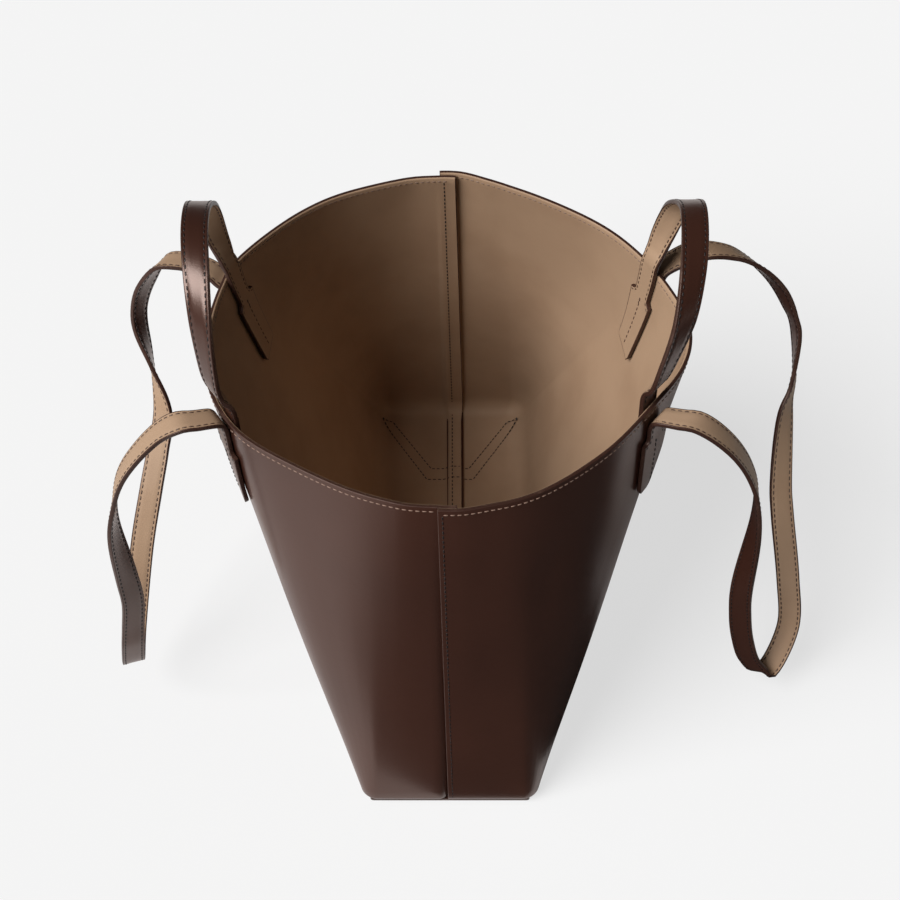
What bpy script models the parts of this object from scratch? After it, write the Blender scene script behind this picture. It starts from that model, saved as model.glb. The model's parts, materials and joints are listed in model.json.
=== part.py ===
"""Tote bag in double-faced leather, standing open on its base.

Two panels, each brown outside and tan inside, meet in one lapped seam that runs down the
near end, along the base and up the far end. Two short handles end in tabs sewn inside the
mouth, two long straps end in tabs sewn outside it. X is across the bag, Y runs from the
near end to the far end, Z is up, and the origin is on the floor.
"""

import math

import bpy
import numpy as np

# Body of the bag
BASE_WIDTH = 0.130
BASE_LENGTH = 0.388
BASE_CORNER = 0.011
FOLD_RADIUS = 0.0045
RIM_HEIGHT = 0.307
RIM_STEP = 0.0015
MOUTH_HALF_WIDTH = 0.163
MOUTH_HALF_LENGTH = 0.156
BODY_SHIFT = -0.008

# Leather
SKIN = 0.0016
LINING = 0.0013
CLEARANCE = 0.0003

# Lapped seam
LAP_WIDTH = 0.012
LAP_EASE = 0.010
SEAM_DRIFT_AT_RIM = -0.0016
SEAM_DRIFT_AT_BASE = 0.0053

# Stretches of rim that fan out from the straight edges of the base
END_FAN = 0.076
SIDE_FAN = 0.080
FAN_EASE = 0.012

# Boxed corners, folded under the base
EAR_DEPTH = 0.087
EAR_SIDE = 0.0605
EAR_NOSE = 0.0225
EAR_THICKNESS = 0.003
EAR_INSET = 0.001
EAR_CORNER = 0.004

# Handles, straps and their tabs
STRAP_WIDTH = 0.017
STRAP_SKIN = 0.0014
STRAP_LINING = 0.0013
NECK_LENGTH = 0.016
NECK_GAP = 0.001
TAB_WIDTH = 0.027
INNER_TAB_TOPS = (0.002, 0.002)
INNER_TAB_DROP = 0.077
LEFT_OUTER_TAB_TOPS = (-0.009, -0.020)
RIGHT_OUTER_TAB_TOPS = (-0.019, -0.014)
OUTER_TAB_DROP = 0.071
SHOULDER_DROP = 0.026
SEWN_GAP = 0.0009
TAB_SPLAY = math.radians(4.0)
LEFT_HANDLE_RISE = 0.0947
RIGHT_HANDLE_RISE = 0.0924
LEFT_HANDLE_LEAN = 0.0126
RIGHT_HANDLE_LEAN = 0.0197
LEFT_STRAP_DROP = 0.2547
RIGHT_STRAP_DROP = 0.2585
LEFT_STRAP_REACH = 0.0948
RIGHT_STRAP_REACH = 0.1242

# Half plans of the mouth from the near seam to the far seam, as shares of its half sizes
LEFT_MOUTH_SHARES = (
    (0.0, -1.0), (-0.30, -0.935), (-0.56, -0.80), (-0.826, -0.60), (-0.962, -0.35),
    (-1.0, -0.06), (-0.975, 0.22), (-0.90, 0.44), (-0.66, 0.735), (-0.40, 0.90),
)
RIGHT_MOUTH_SHARES = (
    (0.0, 1.0), (0.31, 0.882), (0.64, 0.655), (0.83, 0.42), (0.95, 0.16),
    (0.99, -0.04), (0.94, -0.25), (0.79, -0.48), (0.585, -0.73), (0.30, -0.94),
)

# Where the tabs sit, as shares of each panel's rim from its near edge
LEFT_TAB_SHARES = (0.3363, 0.6075)
RIGHT_TAB_SHARES = (0.3431, 0.622)

# How a strap leaves its tab: shares of the neck's length up the wall and away from it
HANDLE_LEAD_SHARES = ((0.28, 0.0), (0.61, 0.08))
STRAP_LEAD_SHARES = ((0.22, 0.0), (0.50, 0.073), (0.71, 0.284))

# Rows of the grids, as shares of the wall's height, and of a tab's body and its widening
WALL_ROW_SHARES = (0.3, 0.55, 0.72, 0.86, 1.0)
TAB_ROW_SHARES = (
    (-0.06, 0.0), (-0.025, 0.10), (0.0, 0.45), (0.02, 1.0),
    (0.35, 1.0), (0.65, 1.0), (0.94, 1.0), (1.0, 0.82),
)
TAB_COLUMN_SHARES = (-1.0, -0.5, 0.0, 0.5, 1.0)
LAP_COLUMN_SHARES = (0.0, 0.5, 1.0)
LAP_INWARD_SHARE_AT_RIM = 0.5

# Routes from near tab to far tab: share of the way along, share of the rise or drop and share of
# the lean or reach. The turns are the width's, in degrees from straight across the bag.
LEFT_HANDLE_SHARES = (
    (-0.000, 0.173, 0.535), (0.005, 0.331, 0.745), (0.088, 0.659, 0.869), (0.271, 0.909, 0.929),
    (0.521, 1.000, 1.000), (0.770, 0.907, 0.968), (0.951, 0.655, 0.831), (1.016, 0.311, 0.565),
    (1.014, 0.153, 0.305),
)
LEFT_HANDLE_TURNS = (
    54.0, 48.0, 38.0, 28.0, 20.0, 8.0, -18.0, -48.0, -66.0,
)
RIGHT_HANDLE_SHARES = (
    (-0.023, 0.176, 0.243), (-0.021, 0.344, 0.431), (0.070, 0.664, 0.821), (0.259, 0.910, 0.975),
    (0.517, 1.000, 1.000), (0.773, 0.908, 0.944), (0.956, 0.661, 0.657), (1.021, 0.343, 0.357),
    (1.019, 0.167, 0.180),
)
RIGHT_HANDLE_TURNS = (
    50.0, 45.0, 36.0, 28.0, 20.0, 8.0, -14.0, -40.0, -56.0,
)
LEFT_STRAP_SHARES = (
    (-0.036, -0.051, 0.157), (-0.046, -0.051, 0.278), (-0.044, -0.019, 0.413), (-0.063, 0.044, 0.578),
    (-0.076, 0.126, 0.722), (-0.087, 0.219, 0.808), (-0.103, 0.340, 0.862), (-0.114, 0.539, 0.856),
    (-0.122, 0.655, 0.855), (-0.131, 0.778, 0.902), (-0.133, 0.875, 0.943), (-0.069, 1.000, 0.997),
    (0.082, 0.929, 0.975), (0.276, 0.679, 0.845), (0.453, 0.527, 0.736), (0.617, 0.443, 0.667),
    (0.760, 0.355, 0.611), (0.944, 0.237, 0.682), (1.033, 0.138, 0.730), (1.061, 0.065, 0.707),
    (1.073, -0.005, 0.631), (1.071, -0.079, 0.492), (1.058, -0.090, 0.337), (1.046, -0.077, 0.207),
    (1.031, -0.061, 0.120),
)
LEFT_STRAP_TURNS = (
    58.0, 65.0, 74.0, 79.0, 82.0, 88.0, 104.0, 134.0, 143.0, 150.0, 157.0, 162.0,
    170.0, 180.0, 190.0, 202.0, 222.0, 260.0, 290.0, 305.0, 314.0, 303.0, 295.0, 290.0,
    288.0,
)
RIGHT_STRAP_SHARES = (
    (-0.033, -0.052, 0.115), (-0.041, -0.049, 0.211), (-0.048, -0.014, 0.322), (-0.053, 0.046, 0.436),
    (-0.052, 0.122, 0.524), (-0.070, 0.205, 0.584), (-0.095, 0.334, 0.614), (-0.117, 0.580, 0.614),
    (-0.126, 0.710, 0.641), (-0.134, 0.824, 0.688), (-0.128, 0.942, 0.769), (-0.105, 1.000, 0.892),
    (0.076, 0.906, 1.000), (0.185, 0.745, 0.951), (0.371, 0.567, 0.867), (0.489, 0.491, 0.841),
    (0.737, 0.364, 0.837), (0.859, 0.288, 0.864), (0.985, 0.168, 0.848), (1.026, 0.102, 0.793),
    (1.054, 0.034, 0.710), (1.065, -0.023, 0.601), (1.064, -0.068, 0.475), (1.056, -0.088, 0.370),
    (1.045, -0.094, 0.267), (1.040, -0.083, 0.174), (1.033, -0.060, 0.099),
)
RIGHT_STRAP_TURNS = (
    53.0, 60.0, 70.0, 78.0, 82.0, 88.0, 104.0, 138.0, 150.0, 155.0, 158.0, 160.0,
    164.0, 172.0, 188.0, 200.0, 230.0, 252.0, 282.0, 298.0, 310.0, 313.0, 308.0, 303.0,
    299.0, 298.0, 298.0,
)

BROWN = (0.058, 0.026, 0.018, 1.0)
TAN = (0.42, 0.27, 0.17, 1.0)
LEATHER_ROUGHNESS = 0.42
LINING_ROUGHNESS = 0.62

WALL_THICKNESS = SKIN + CLEARANCE + LINING
FLOOR_LEVEL = EAR_THICKNESS + CLEARANCE + SKIN
TURN = 2.0 * math.pi
FULL_TURN = 360.0
SAMPLES_PER_SPAN = 16
CORNER_STEPS = 10
EAR_CORNER_STEPS = 4
FOLD_STEPS = 2
PANEL_COLUMNS = 46
STRAP_STEPS = 58
HANDLE_STEPS = 26
NECK_STEPS = 5
FINE_STEPS = 5
FINE_STEP = 0.003
END_STEP = 0.0015
PROBE = 1e-4
WIDE_PROBE = 1e-3
NEWTON_STEPS = 9


def clear_scene():
    for obj in list(bpy.data.objects):
        bpy.data.objects.remove(obj, do_unlink=True)


def unit(vector):
    return vector / np.linalg.norm(vector)


def smooth_curve(points, closed):
    """Dense points on a smooth curve through the given ones, in as many columns as they have."""
    points = np.asarray(points, float)
    if closed:
        ends = np.vstack([points[-1], points, points[0], points[1]])
    else:
        ends = np.vstack([2 * points[0] - points[1], points, 2 * points[-1] - points[-2]])
    dense = []
    for before, start, stop, after in zip(ends, ends[1:], ends[2:], ends[3:]):
        for step in range(SAMPLES_PER_SPAN):
            t = step / SAMPLES_PER_SPAN
            dense.append(
                start
                + 0.5 * t * (stop - before)
                + t * t * (before - 2.5 * start + 2 * stop - 0.5 * after)
                + 0.5 * t**3 * (3 * (start - stop) + after - before)
            )
    dense.append(ends[-2])
    return np.array(dense)


def running_length(points):
    steps = np.linalg.norm(np.diff(points[:, :3], axis=0), axis=1)
    return np.concatenate([[0.0], np.cumsum(steps)])


class Outline:
    """A closed plan curve from the near seam round by the left, read by the length along it."""

    def __init__(self, points, normals):
        self.points = points
        self.normals = normals
        self.lengths = running_length(points)
        self.total = self.lengths[-1]

    def at(self, length, outward):
        """The point at a length, moved outward along the normal."""
        length = length % self.total
        point = [np.interp(length, self.lengths, self.points[:, k]) for k in (0, 1)]
        normal = [np.interp(length, self.lengths, self.normals[:, k]) for k in (0, 1)]
        return np.array(point) + outward * unit(np.array(normal))

    def length_at(self, index):
        return self.lengths[index]


def left_normals(points):
    """Outward normals of a closed curve that runs near, left, far, right."""
    ahead = np.roll(points[:-1], -1, axis=0)
    behind = np.roll(points[:-1], 1, axis=0)
    along = ahead - behind
    normals = np.stack([-along[:, 1], along[:, 0]], axis=1)
    normals /= np.linalg.norm(normals, axis=1)[:, None]
    return np.vstack([normals, normals[:1]])


def mouth_outline():
    shares = np.array(LEFT_MOUTH_SHARES + RIGHT_MOUTH_SHARES)
    points = shares * (MOUTH_HALF_WIDTH, MOUTH_HALF_LENGTH)
    points[:, 0] += BODY_SHIFT
    points[0, 0] += SEAM_DRIFT_AT_RIM
    points[len(LEFT_MOUTH_SHARES), 0] += SEAM_DRIFT_AT_RIM
    dense = smooth_curve(points, closed=True)
    return Outline(dense, left_normals(dense))


def base_outline():
    """The rounded rectangle of the base, and the lengths at which its corners start and end."""
    half_x = BASE_WIDTH / 2 - BASE_CORNER
    half_y = BASE_LENGTH / 2 - BASE_CORNER
    points = [(SEAM_DRIFT_AT_BASE, -BASE_LENGTH / 2)]
    normals = [(0.0, -1.0)]
    marks = []
    for index, (sign_x, sign_y) in enumerate(((-1, -1), (-1, 1), (1, 1), (1, -1))):
        if index == 2:
            points.append((SEAM_DRIFT_AT_BASE, BASE_LENGTH / 2))
            normals.append((0.0, 1.0))
        marks.append(len(points))
        for step in range(CORNER_STEPS + 1):
            angle = -TURN / 4 * (1 + index + step / CORNER_STEPS)
            normal = (math.cos(angle), math.sin(angle))
            points.append((
                sign_x * half_x + BASE_CORNER * normal[0],
                sign_y * half_y + BASE_CORNER * normal[1],
            ))
            normals.append(normal)
        marks.append(len(points) - 1)
    points.append(points[0])
    normals.append(normals[0])
    points = np.array(points) + (BODY_SHIFT, 0.0)
    outline = Outline(points, np.array(normals))
    return outline, [outline.length_at(mark) for mark in marks]


MOUTH = mouth_outline()
BASE, BASE_CORNERS = base_outline()
FAR_SEAM = MOUTH.length_at(len(LEFT_MOUTH_SHARES) * SAMPLES_PER_SPAN)
BASE_FAR_SEAM = BASE.length_at(2 * (CORNER_STEPS + 1) + 1)
LEFT_MIDDLE = FAR_SEAM / 2
RIGHT_MIDDLE = (FAR_SEAM + MOUTH.total) / 2


def fan_knots():
    """Matching lengths along the rim and along the base."""
    rim = [0.0, LAP_WIDTH, END_FAN / 2, LEFT_MIDDLE - SIDE_FAN / 2, LEFT_MIDDLE + SIDE_FAN / 2]
    rim += [FAR_SEAM - END_FAN / 2, FAR_SEAM - LAP_WIDTH, FAR_SEAM, FAR_SEAM + LAP_WIDTH]
    rim += [FAR_SEAM + END_FAN / 2]
    rim += [RIGHT_MIDDLE - SIDE_FAN / 2, RIGHT_MIDDLE + SIDE_FAN / 2]
    rim += [MOUTH.total - END_FAN / 2, MOUTH.total - LAP_WIDTH]
    base = [0.0, LAP_WIDTH] + BASE_CORNERS[:4]
    base += [BASE_FAR_SEAM - LAP_WIDTH, BASE_FAR_SEAM, BASE_FAR_SEAM + LAP_WIDTH] + BASE_CORNERS[4:]
    base += [BASE.total - LAP_WIDTH]
    turns = range(-1, 2)
    rim = np.concatenate([np.array(rim) + turn * MOUTH.total for turn in turns])
    base = np.concatenate([np.array(base) + turn * BASE.total for turn in turns])
    return rim, base


RIM_KNOTS, BASE_KNOTS = fan_knots()
EASE_SHARES = np.linspace(-1.0, 1.0, 9)


def base_length_under(length):
    """The length along the base that the ruling from this length of the rim comes down to."""
    return float(np.mean(np.interp(length + EASE_SHARES * FAN_EASE, RIM_KNOTS, BASE_KNOTS)))


def eased(share):
    share = min(max(share, 0.0), 1.0)
    return share * share * (3 - 2 * share)


class Panel:
    """One side of the bag: its wall, its half of the base, and its part of the seams."""

    def __init__(self, side, start, stop, tab_shares):
        self.side = side
        self.sign = 1 if side == "left" else -1
        self.start = start
        self.stop = stop
        self.rim_height = RIM_HEIGHT + (0.0 if side == "left" else RIM_STEP)
        self.outer_tab_tops = LEFT_OUTER_TAB_TOPS if side == "left" else RIGHT_OUTER_TAB_TOPS
        near, far = (start, stop) if side == "left" else (stop, start)
        self.tab_lengths = [near + share * (far - near) for share in tab_shares]

    def lap(self, length, height_share):
        """How far the panel steps off its middle surface to pass its neighbour at a seam."""
        from_edge = min(length - self.start, self.stop - length)
        inward = 1 - (1 - LAP_INWARD_SHARE_AT_RIM) * height_share
        share = inward if self.side == "left" else 1 - inward
        step = (WALL_THICKNESS + CLEARANCE) * share * eased(1 - (from_edge - LAP_WIDTH) / LAP_EASE)
        return -step * self.sign

    def fold(self, length, turn, outward):
        """A point of the fold at the foot of the wall: turn 0 is flat on the base, 1 upright."""
        outward += self.lap(length, 0.0)
        angle = turn * TURN / 4
        inset = outward * math.sin(angle) - FOLD_RADIUS * (1 - math.sin(angle))
        plan = BASE.at(base_length_under(length), inset)
        rise = FLOOR_LEVEL + FOLD_RADIUS - (FOLD_RADIUS + outward) * math.cos(angle)
        return np.array([plan[0], plan[1], rise])

    def wall(self, length, height_share):
        """A point of the wall's middle surface: share 0 is its foot, 1 the rim."""
        foot = self.fold(length, 1.0, 0.0)
        plan = MOUTH.at(length, self.lap(length, 1.0))
        top = np.array([plan[0], plan[1], self.rim_height])
        return foot + height_share * (top - foot)

    def off_wall(self, length, height_share, outward):
        """The same point moved squarely off the wall."""
        here = self.wall(length, height_share)
        up = self.wall(length, height_share + PROBE) - here
        along = self.wall(length + PROBE, height_share) - here
        return here + outward * unit(np.cross(up, along))

    def columns(self):
        """Lengths of the grid's columns: close together where the seams step, even between."""
        near = [self.start + LAP_WIDTH * share for share in LAP_COLUMN_SHARES]
        near += [near[-1] + LAP_EASE / 2, near[-1] + LAP_EASE]
        far = [self.start + self.stop - length for length in reversed(near)]
        return near + list(np.linspace(near[-1], far[0], PANEL_COLUMNS + 2)[1:-1]) + far


def mesh_object(name, vertices, faces, material, collection):
    mesh = bpy.data.meshes.new(name)
    mesh.from_pydata([tuple(vertex) for vertex in vertices], [], faces)
    mesh.validate()
    mesh.materials.append(material)
    mesh.shade_smooth()
    obj = bpy.data.objects.new(name, mesh)
    collection.objects.link(obj)
    return obj


def thicken(obj, thickness, outward):
    solidify = obj.modifiers.new("Thickness", "SOLIDIFY")
    solidify.thickness = thickness
    solidify.offset = outward
    solidify.use_even_offset = True
    return obj


def grid_faces(rows, columns, flip):
    """Triangles over a grid, split the same way in every layer so that layers stay apart."""
    faces = []
    for row in range(rows - 1):
        for column in range(columns - 1):
            corner = row * columns + column
            above = corner + columns
            for face in ((corner, corner + 1, above), (corner + 1, above + 1, above)):
                faces.append(face[::-1] if flip else face)
    return faces


def panel_layer(name, panel, outward, thickness, direction, material, collection):
    """The wall and half base of one panel as an open surface, made thick by a modifier."""
    columns = panel.columns()
    count = len(columns)
    turns = [step / FOLD_STEPS for step in range(FOLD_STEPS + 1)]
    rows = [[panel.fold(length, turn, outward) for length in columns] for turn in turns]
    rows += [[panel.off_wall(length, share, outward) for length in columns] for share in WALL_ROW_SHARES]
    vertices = [point for row in rows for point in row]
    faces = grid_faces(len(rows), count, flip=True)
    strips = len(LAP_COLUMN_SHARES) + 1
    for column in range(strips):
        across = count - 1 - column
        faces.append((column, column + 1, across - 1, across))
    faces.append(tuple(range(strips, count - strips)))
    return thicken(mesh_object(name, vertices, faces, material, collection), thickness, direction)


class Tab:
    """A strap's sewn end, lying on the wall. Its own axes run across and down the wall."""

    def __init__(self, panel, length, splay, outward, top, drop):
        self.panel = panel
        self.length = length
        self.outward = outward
        self.top = top
        self.drop = drop
        self.origin = panel.off_wall(length, 1.0, outward)
        along = unit(panel.off_wall(length + PROBE, 1.0, outward) - self.origin)
        ruling = panel.off_wall(length, 0.0, outward) - self.origin
        down = unit(ruling - (ruling @ along) * along)
        self.across = math.cos(splay) * along - math.sin(splay) * down
        self.down = math.cos(splay) * down + math.sin(splay) * along
        self.normal = np.cross(along, down)

    def at(self, across, down, outward):
        """The point of the wall at these distances from the rim, moved squarely off it."""
        place = np.array([self.length, 1.0])
        probes = WIDE_PROBE * np.eye(2)
        for _ in range(NEWTON_STEPS):
            here = self.measure(self.panel.off_wall(*place, outward))
            ahead = [self.measure(self.panel.off_wall(*(place + step), outward)) for step in probes]
            slopes = [(there - here) / WIDE_PROBE for there in ahead]
            place += np.linalg.solve(np.stack(slopes, axis=1), np.array([across, down]) - here)
        return self.panel.off_wall(*place, outward)

    def measure(self, point):
        offset = point - self.origin
        return np.array([offset @ self.across, offset @ self.down])


def tab_layer(name, tab, outward, thickness, direction, material, collection):
    vertices = []
    rows = [(-tab.top, STRAP_WIDTH)]
    for body_share, widening_share in TAB_ROW_SHARES:
        down = SHOULDER_DROP + body_share * (tab.drop - SHOULDER_DROP)
        rows.append((down, STRAP_WIDTH + widening_share * (TAB_WIDTH - STRAP_WIDTH)))
    for down, width in rows:
        for column_share in TAB_COLUMN_SHARES:
            vertices.append(tab.at(column_share * width / 2, down, outward))
    faces = grid_faces(len(rows), len(TAB_COLUMN_SHARES), flip=False)
    return thicken(mesh_object(name, vertices, faces, material, collection), thickness, direction)


class Route:
    """The middle line of a strap from its near tab to its far tab, with the turn of its width."""

    def __init__(self, near, far, leads, shares, turns, rise, reach):
        self.sign = near.panel.sign
        start, stop = (tab.at(0.0, -tab.top - NECK_GAP, tab.outward) for tab in (near, far))
        across = unit((stop - start) * (1, 1, 0))
        out = np.array([-self.sign * across[1], self.sign * across[0], 0.0])
        near_turn = self.turn_of(-self.sign * near.across, turns[0])
        far_turn = self.turn_of(self.sign * far.across, turns[-1])
        points = [[*self.lead(start, near, -leads[0][0], 0.0), near_turn], [*start, near_turn]]
        points += [[*self.lead(start, near, *lead), near_turn] for lead in leads]
        for (along_share, rise_share, reach_share), turn in zip(shares, turns):
            point = start + along_share * (stop - start) + reach_share * reach * out
            point[2] += rise_share * rise
            points.append([*point, turn])
        points += [[*self.lead(stop, far, *lead), far_turn] for lead in reversed(leads)]
        points += [[*stop, far_turn], [*self.lead(stop, far, -leads[0][0], 0.0), far_turn]]
        self.dense = smooth_curve(points, closed=False)[SAMPLES_PER_SPAN:-SAMPLES_PER_SPAN]
        self.lengths = running_length(self.dense)
        self.total = self.lengths[-1]

    @staticmethod
    def lead(start, tab, up_share, out_share):
        return start + NECK_LENGTH * (out_share * tab.normal - up_share * tab.down)

    def turn_of(self, width, nearby):
        """The turn of a width direction in degrees, on the same lap as a turn nearby."""
        turn = math.degrees(math.atan2(-width[1], self.sign * width[0]))
        return turn + FULL_TURN * round((nearby - turn) / FULL_TURN)

    def frame(self, length):
        """The middle point, the width direction and the direction of the brown face."""
        values = [np.interp(length, self.lengths, self.dense[:, k]) for k in range(4)]
        ahead, behind = (
            np.array([np.interp(length + step, self.lengths, self.dense[:, k]) for k in range(3)])
            for step in (PROBE, -PROBE)
        )
        along = unit(ahead - behind)
        turn = math.radians(values[3])
        width = np.array([self.sign * math.cos(turn), -math.sin(turn), 0.0])
        width = unit(width - (width @ along) * along)
        return np.array(values[:3]), width, self.sign * np.cross(width, along)


def ribbon_lengths(start, stop, steps):
    """Lengths of the rows of a stretch of strap: short steps at the ends, where it bends most."""
    fine = [0.0, END_STEP] + [FINE_STEP * (step + 1) for step in range(FINE_STEPS)]
    middle = np.linspace(start + fine[-1], stop - fine[-1], steps + 1)[1:-1]
    return [start + length for length in fine] + list(middle) + [stop - length for length in reversed(fine)]


def ribbon_layer(name, route, lengths, outward, thickness, direction, material, collection):
    """One layer of a stretch of strap."""
    vertices = []
    for length in lengths:
        centre, width, face = route.frame(length)
        for side in (-1, 1):
            vertices.append(centre + side * STRAP_WIDTH / 2 * width + outward * face)
    obj = mesh_object(name, vertices, grid_faces(len(lengths), 2, flip=route.sign < 0), material, collection)
    return thicken(obj, thickness, direction)


def rounded_outline(corners, radius):
    """The corners of a flat outline, each cut back and turned by an arc."""
    points = []
    for before, corner, after in zip(corners[-1:] + corners[:-1], corners, corners[1:] + corners[:1]):
        before, corner, after = (np.array(point) for point in (before, corner, after))
        start = corner + radius * unit(before - corner)
        stop = corner + radius * unit(after - corner)
        for step in range(EAR_CORNER_STEPS + 1):
            t = step / EAR_CORNER_STEPS
            points.append((1 - t) ** 2 * start + 2 * t * (1 - t) * corner + t * t * stop)
    return points


def base_ear(name, sign, material, collection):
    """The boxed corners of one end, folded flat under the base and stitched to it."""
    edge = sign * (BASE_LENGTH / 2 - EAR_INSET)
    nose = sign * (BASE_LENGTH / 2 - EAR_DEPTH)
    corners = [(-EAR_SIDE, edge), (EAR_SIDE, edge), (EAR_NOSE, nose), (-EAR_NOSE, nose)]
    outline = rounded_outline(corners, EAR_CORNER)
    curve = bpy.data.curves.new(name, "CURVE")
    curve.dimensions = "2D"
    curve.fill_mode = "BOTH"
    curve.extrude = EAR_THICKNESS / 2
    spline = curve.splines.new("POLY")
    spline.points.add(len(outline) - 1)
    for point, place in zip(spline.points, outline):
        point.co = (place[0], place[1], 0.0, 1.0)
    spline.use_cyclic_u = True
    curve.materials.append(material)
    ear = bpy.data.objects.new(name, curve)
    ear.location = (BODY_SHIFT, 0.0, EAR_THICKNESS / 2)
    collection.objects.link(ear)
    return ear


def leather(name, colour, roughness):
    material = bpy.data.materials.new(name)
    material.use_nodes = True
    shader = material.node_tree.nodes["Principled BSDF"]
    shader.inputs["Base Color"].default_value = colour
    shader.inputs["Roughness"].default_value = roughness
    shader.inputs["Metallic"].default_value = 0.0
    return material


def build_panels(panels, brown, tan, collection):
    for panel in panels:
        panel_layer(f"{panel.side}_panel", panel, 0.0, SKIN, 1.0, brown, collection)
        panel_layer(f"{panel.side}_panel_lining", panel, -CLEARANCE, LINING, -1.0, tan, collection)


def build_strap(name, panel, inside, course, brown, tan, collection):
    """A strap with its two sewn tabs and the necks that flex between them."""
    if inside:
        tops, drop, leads, steps = INNER_TAB_TOPS, INNER_TAB_DROP, HANDLE_LEAD_SHARES, HANDLE_STEPS
        outward = -(CLEARANCE + LINING + SEWN_GAP + STRAP_SKIN)
    else:
        tops, drop, leads, steps = panel.outer_tab_tops, OUTER_TAB_DROP, STRAP_LEAD_SHARES, STRAP_STEPS
        outward = SKIN + SEWN_GAP + STRAP_LINING + CLEARANCE
    splays = (-panel.sign * TAB_SPLAY, panel.sign * TAB_SPLAY)
    places = zip(panel.tab_lengths, splays, tops)
    tabs = [Tab(panel, length, splay, outward, top, drop) for length, splay, top in places]
    route = Route(*tabs, leads, *course)
    layers = (
        ("", outward, 0.0, STRAP_SKIN, 1.0, brown),
        ("_lining", outward - CLEARANCE, -CLEARANCE, STRAP_LINING, -1.0, tan),
    )
    neck_lengths = np.linspace(0.0, NECK_LENGTH, NECK_STEPS + 1)
    neck_lengths = np.append(neck_lengths[:-1], [NECK_LENGTH - END_STEP, NECK_LENGTH])
    neck_stop = NECK_LENGTH + NECK_GAP
    strap_lengths = ribbon_lengths(neck_stop, route.total - neck_stop, steps)
    hinge = bpy.data.objects.new(f"{name}_hinge", None)
    ends = [route.frame(length)[0] for length in (NECK_LENGTH / 2, route.total - NECK_LENGTH / 2)]
    hinge.location = (ends[0] + ends[1]) / 2
    collection.objects.link(hinge)
    bpy.context.view_layer.update()
    for suffix, on_wall, off_middle, thickness, direction, material in layers:
        finish = (thickness, direction, material, collection)
        for end, tab in zip(("near", "far"), tabs):
            tab_layer(f"{name}_{end}_tab{suffix}", tab, on_wall, *finish)
        for end, lengths in zip(("near", "far"), (neck_lengths, route.total - neck_lengths[::-1])):
            ribbon_layer(f"{name}_{end}_neck{suffix}", route, lengths, off_middle, *finish)
        strap = ribbon_layer(f"{name}{suffix}", route, strap_lengths, off_middle, *finish)
        strap.parent = hinge
        strap.matrix_parent_inverse = hinge.matrix_world.inverted()
    return route, ends


def build():
    clear_scene()
    collection = bpy.data.collections.new("tote_bag")
    bpy.context.scene.collection.children.link(collection)
    brown = leather("brown_leather", BROWN, LEATHER_ROUGHNESS)
    tan = leather("tan_leather", TAN, LINING_ROUGHNESS)
    half_lap = LAP_WIDTH / 2
    left = Panel("left", -half_lap, FAR_SEAM + half_lap, LEFT_TAB_SHARES)
    right = Panel("right", FAR_SEAM - half_lap, MOUTH.total + half_lap, RIGHT_TAB_SHARES)
    build_panels((left, right), brown, tan, collection)
    base_ear("near_base_ear", -1, brown, collection)
    base_ear("far_base_ear", 1, brown, collection)
    courses = {
        "left_handle": (LEFT_HANDLE_SHARES, LEFT_HANDLE_TURNS, LEFT_HANDLE_RISE, LEFT_HANDLE_LEAN),
        "right_handle": (RIGHT_HANDLE_SHARES, RIGHT_HANDLE_TURNS, RIGHT_HANDLE_RISE, RIGHT_HANDLE_LEAN),
        "left_strap": (LEFT_STRAP_SHARES, LEFT_STRAP_TURNS, -LEFT_STRAP_DROP, LEFT_STRAP_REACH),
        "right_strap": (RIGHT_STRAP_SHARES, RIGHT_STRAP_TURNS, -RIGHT_STRAP_DROP, RIGHT_STRAP_REACH),
    }
    for name, course in courses.items():
        panel = left if name.startswith("left") else right
        route, ends = build_strap(name, panel, name.endswith("handle"), course, brown, tan, collection)
        print(f"{name}: {route.total:.3f} m long, hinge from {np.round(ends[0], 4)} to {np.round(ends[1], 4)}")


build()
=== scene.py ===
# %% [markdown]
# A tote bag in double-faced leather, dark brown outside and tan inside. It stands open on a
# pale floor and is seen from its narrow end and from above. The imported model is loaded first,
# because each visual piece lies where its solids lie, and the pieces of the body ride on its bag.

import json
import math

import bpy
import numpy as np
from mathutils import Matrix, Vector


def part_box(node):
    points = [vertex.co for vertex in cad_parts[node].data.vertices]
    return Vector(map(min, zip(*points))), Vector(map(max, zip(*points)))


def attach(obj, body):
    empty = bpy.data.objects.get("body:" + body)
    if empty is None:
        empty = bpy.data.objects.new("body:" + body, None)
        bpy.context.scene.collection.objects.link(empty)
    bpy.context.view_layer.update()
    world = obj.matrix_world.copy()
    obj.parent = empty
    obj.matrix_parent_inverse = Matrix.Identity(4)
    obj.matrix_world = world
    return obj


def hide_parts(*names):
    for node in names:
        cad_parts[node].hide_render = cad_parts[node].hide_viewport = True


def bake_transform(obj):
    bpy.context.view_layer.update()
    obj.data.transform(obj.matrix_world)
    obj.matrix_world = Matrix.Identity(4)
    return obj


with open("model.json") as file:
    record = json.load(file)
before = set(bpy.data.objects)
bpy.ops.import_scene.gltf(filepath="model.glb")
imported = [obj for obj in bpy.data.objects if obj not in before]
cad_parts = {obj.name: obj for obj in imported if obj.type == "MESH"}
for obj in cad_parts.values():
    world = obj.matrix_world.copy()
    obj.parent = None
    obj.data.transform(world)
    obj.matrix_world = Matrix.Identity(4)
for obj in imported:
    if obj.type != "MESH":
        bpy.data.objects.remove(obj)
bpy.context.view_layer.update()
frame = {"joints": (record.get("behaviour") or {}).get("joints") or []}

# %% [markdown]
# The bag has two driving outlines: the rectangle of the base and the round plan of the mouth.
# The base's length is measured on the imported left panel, and the other sizes are those that the
# solids were built with. The mouth could be an ellipse, but the real one sags unevenly, so it is
# a smooth closed curve through a few points, shares of its half width and half length.

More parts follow.
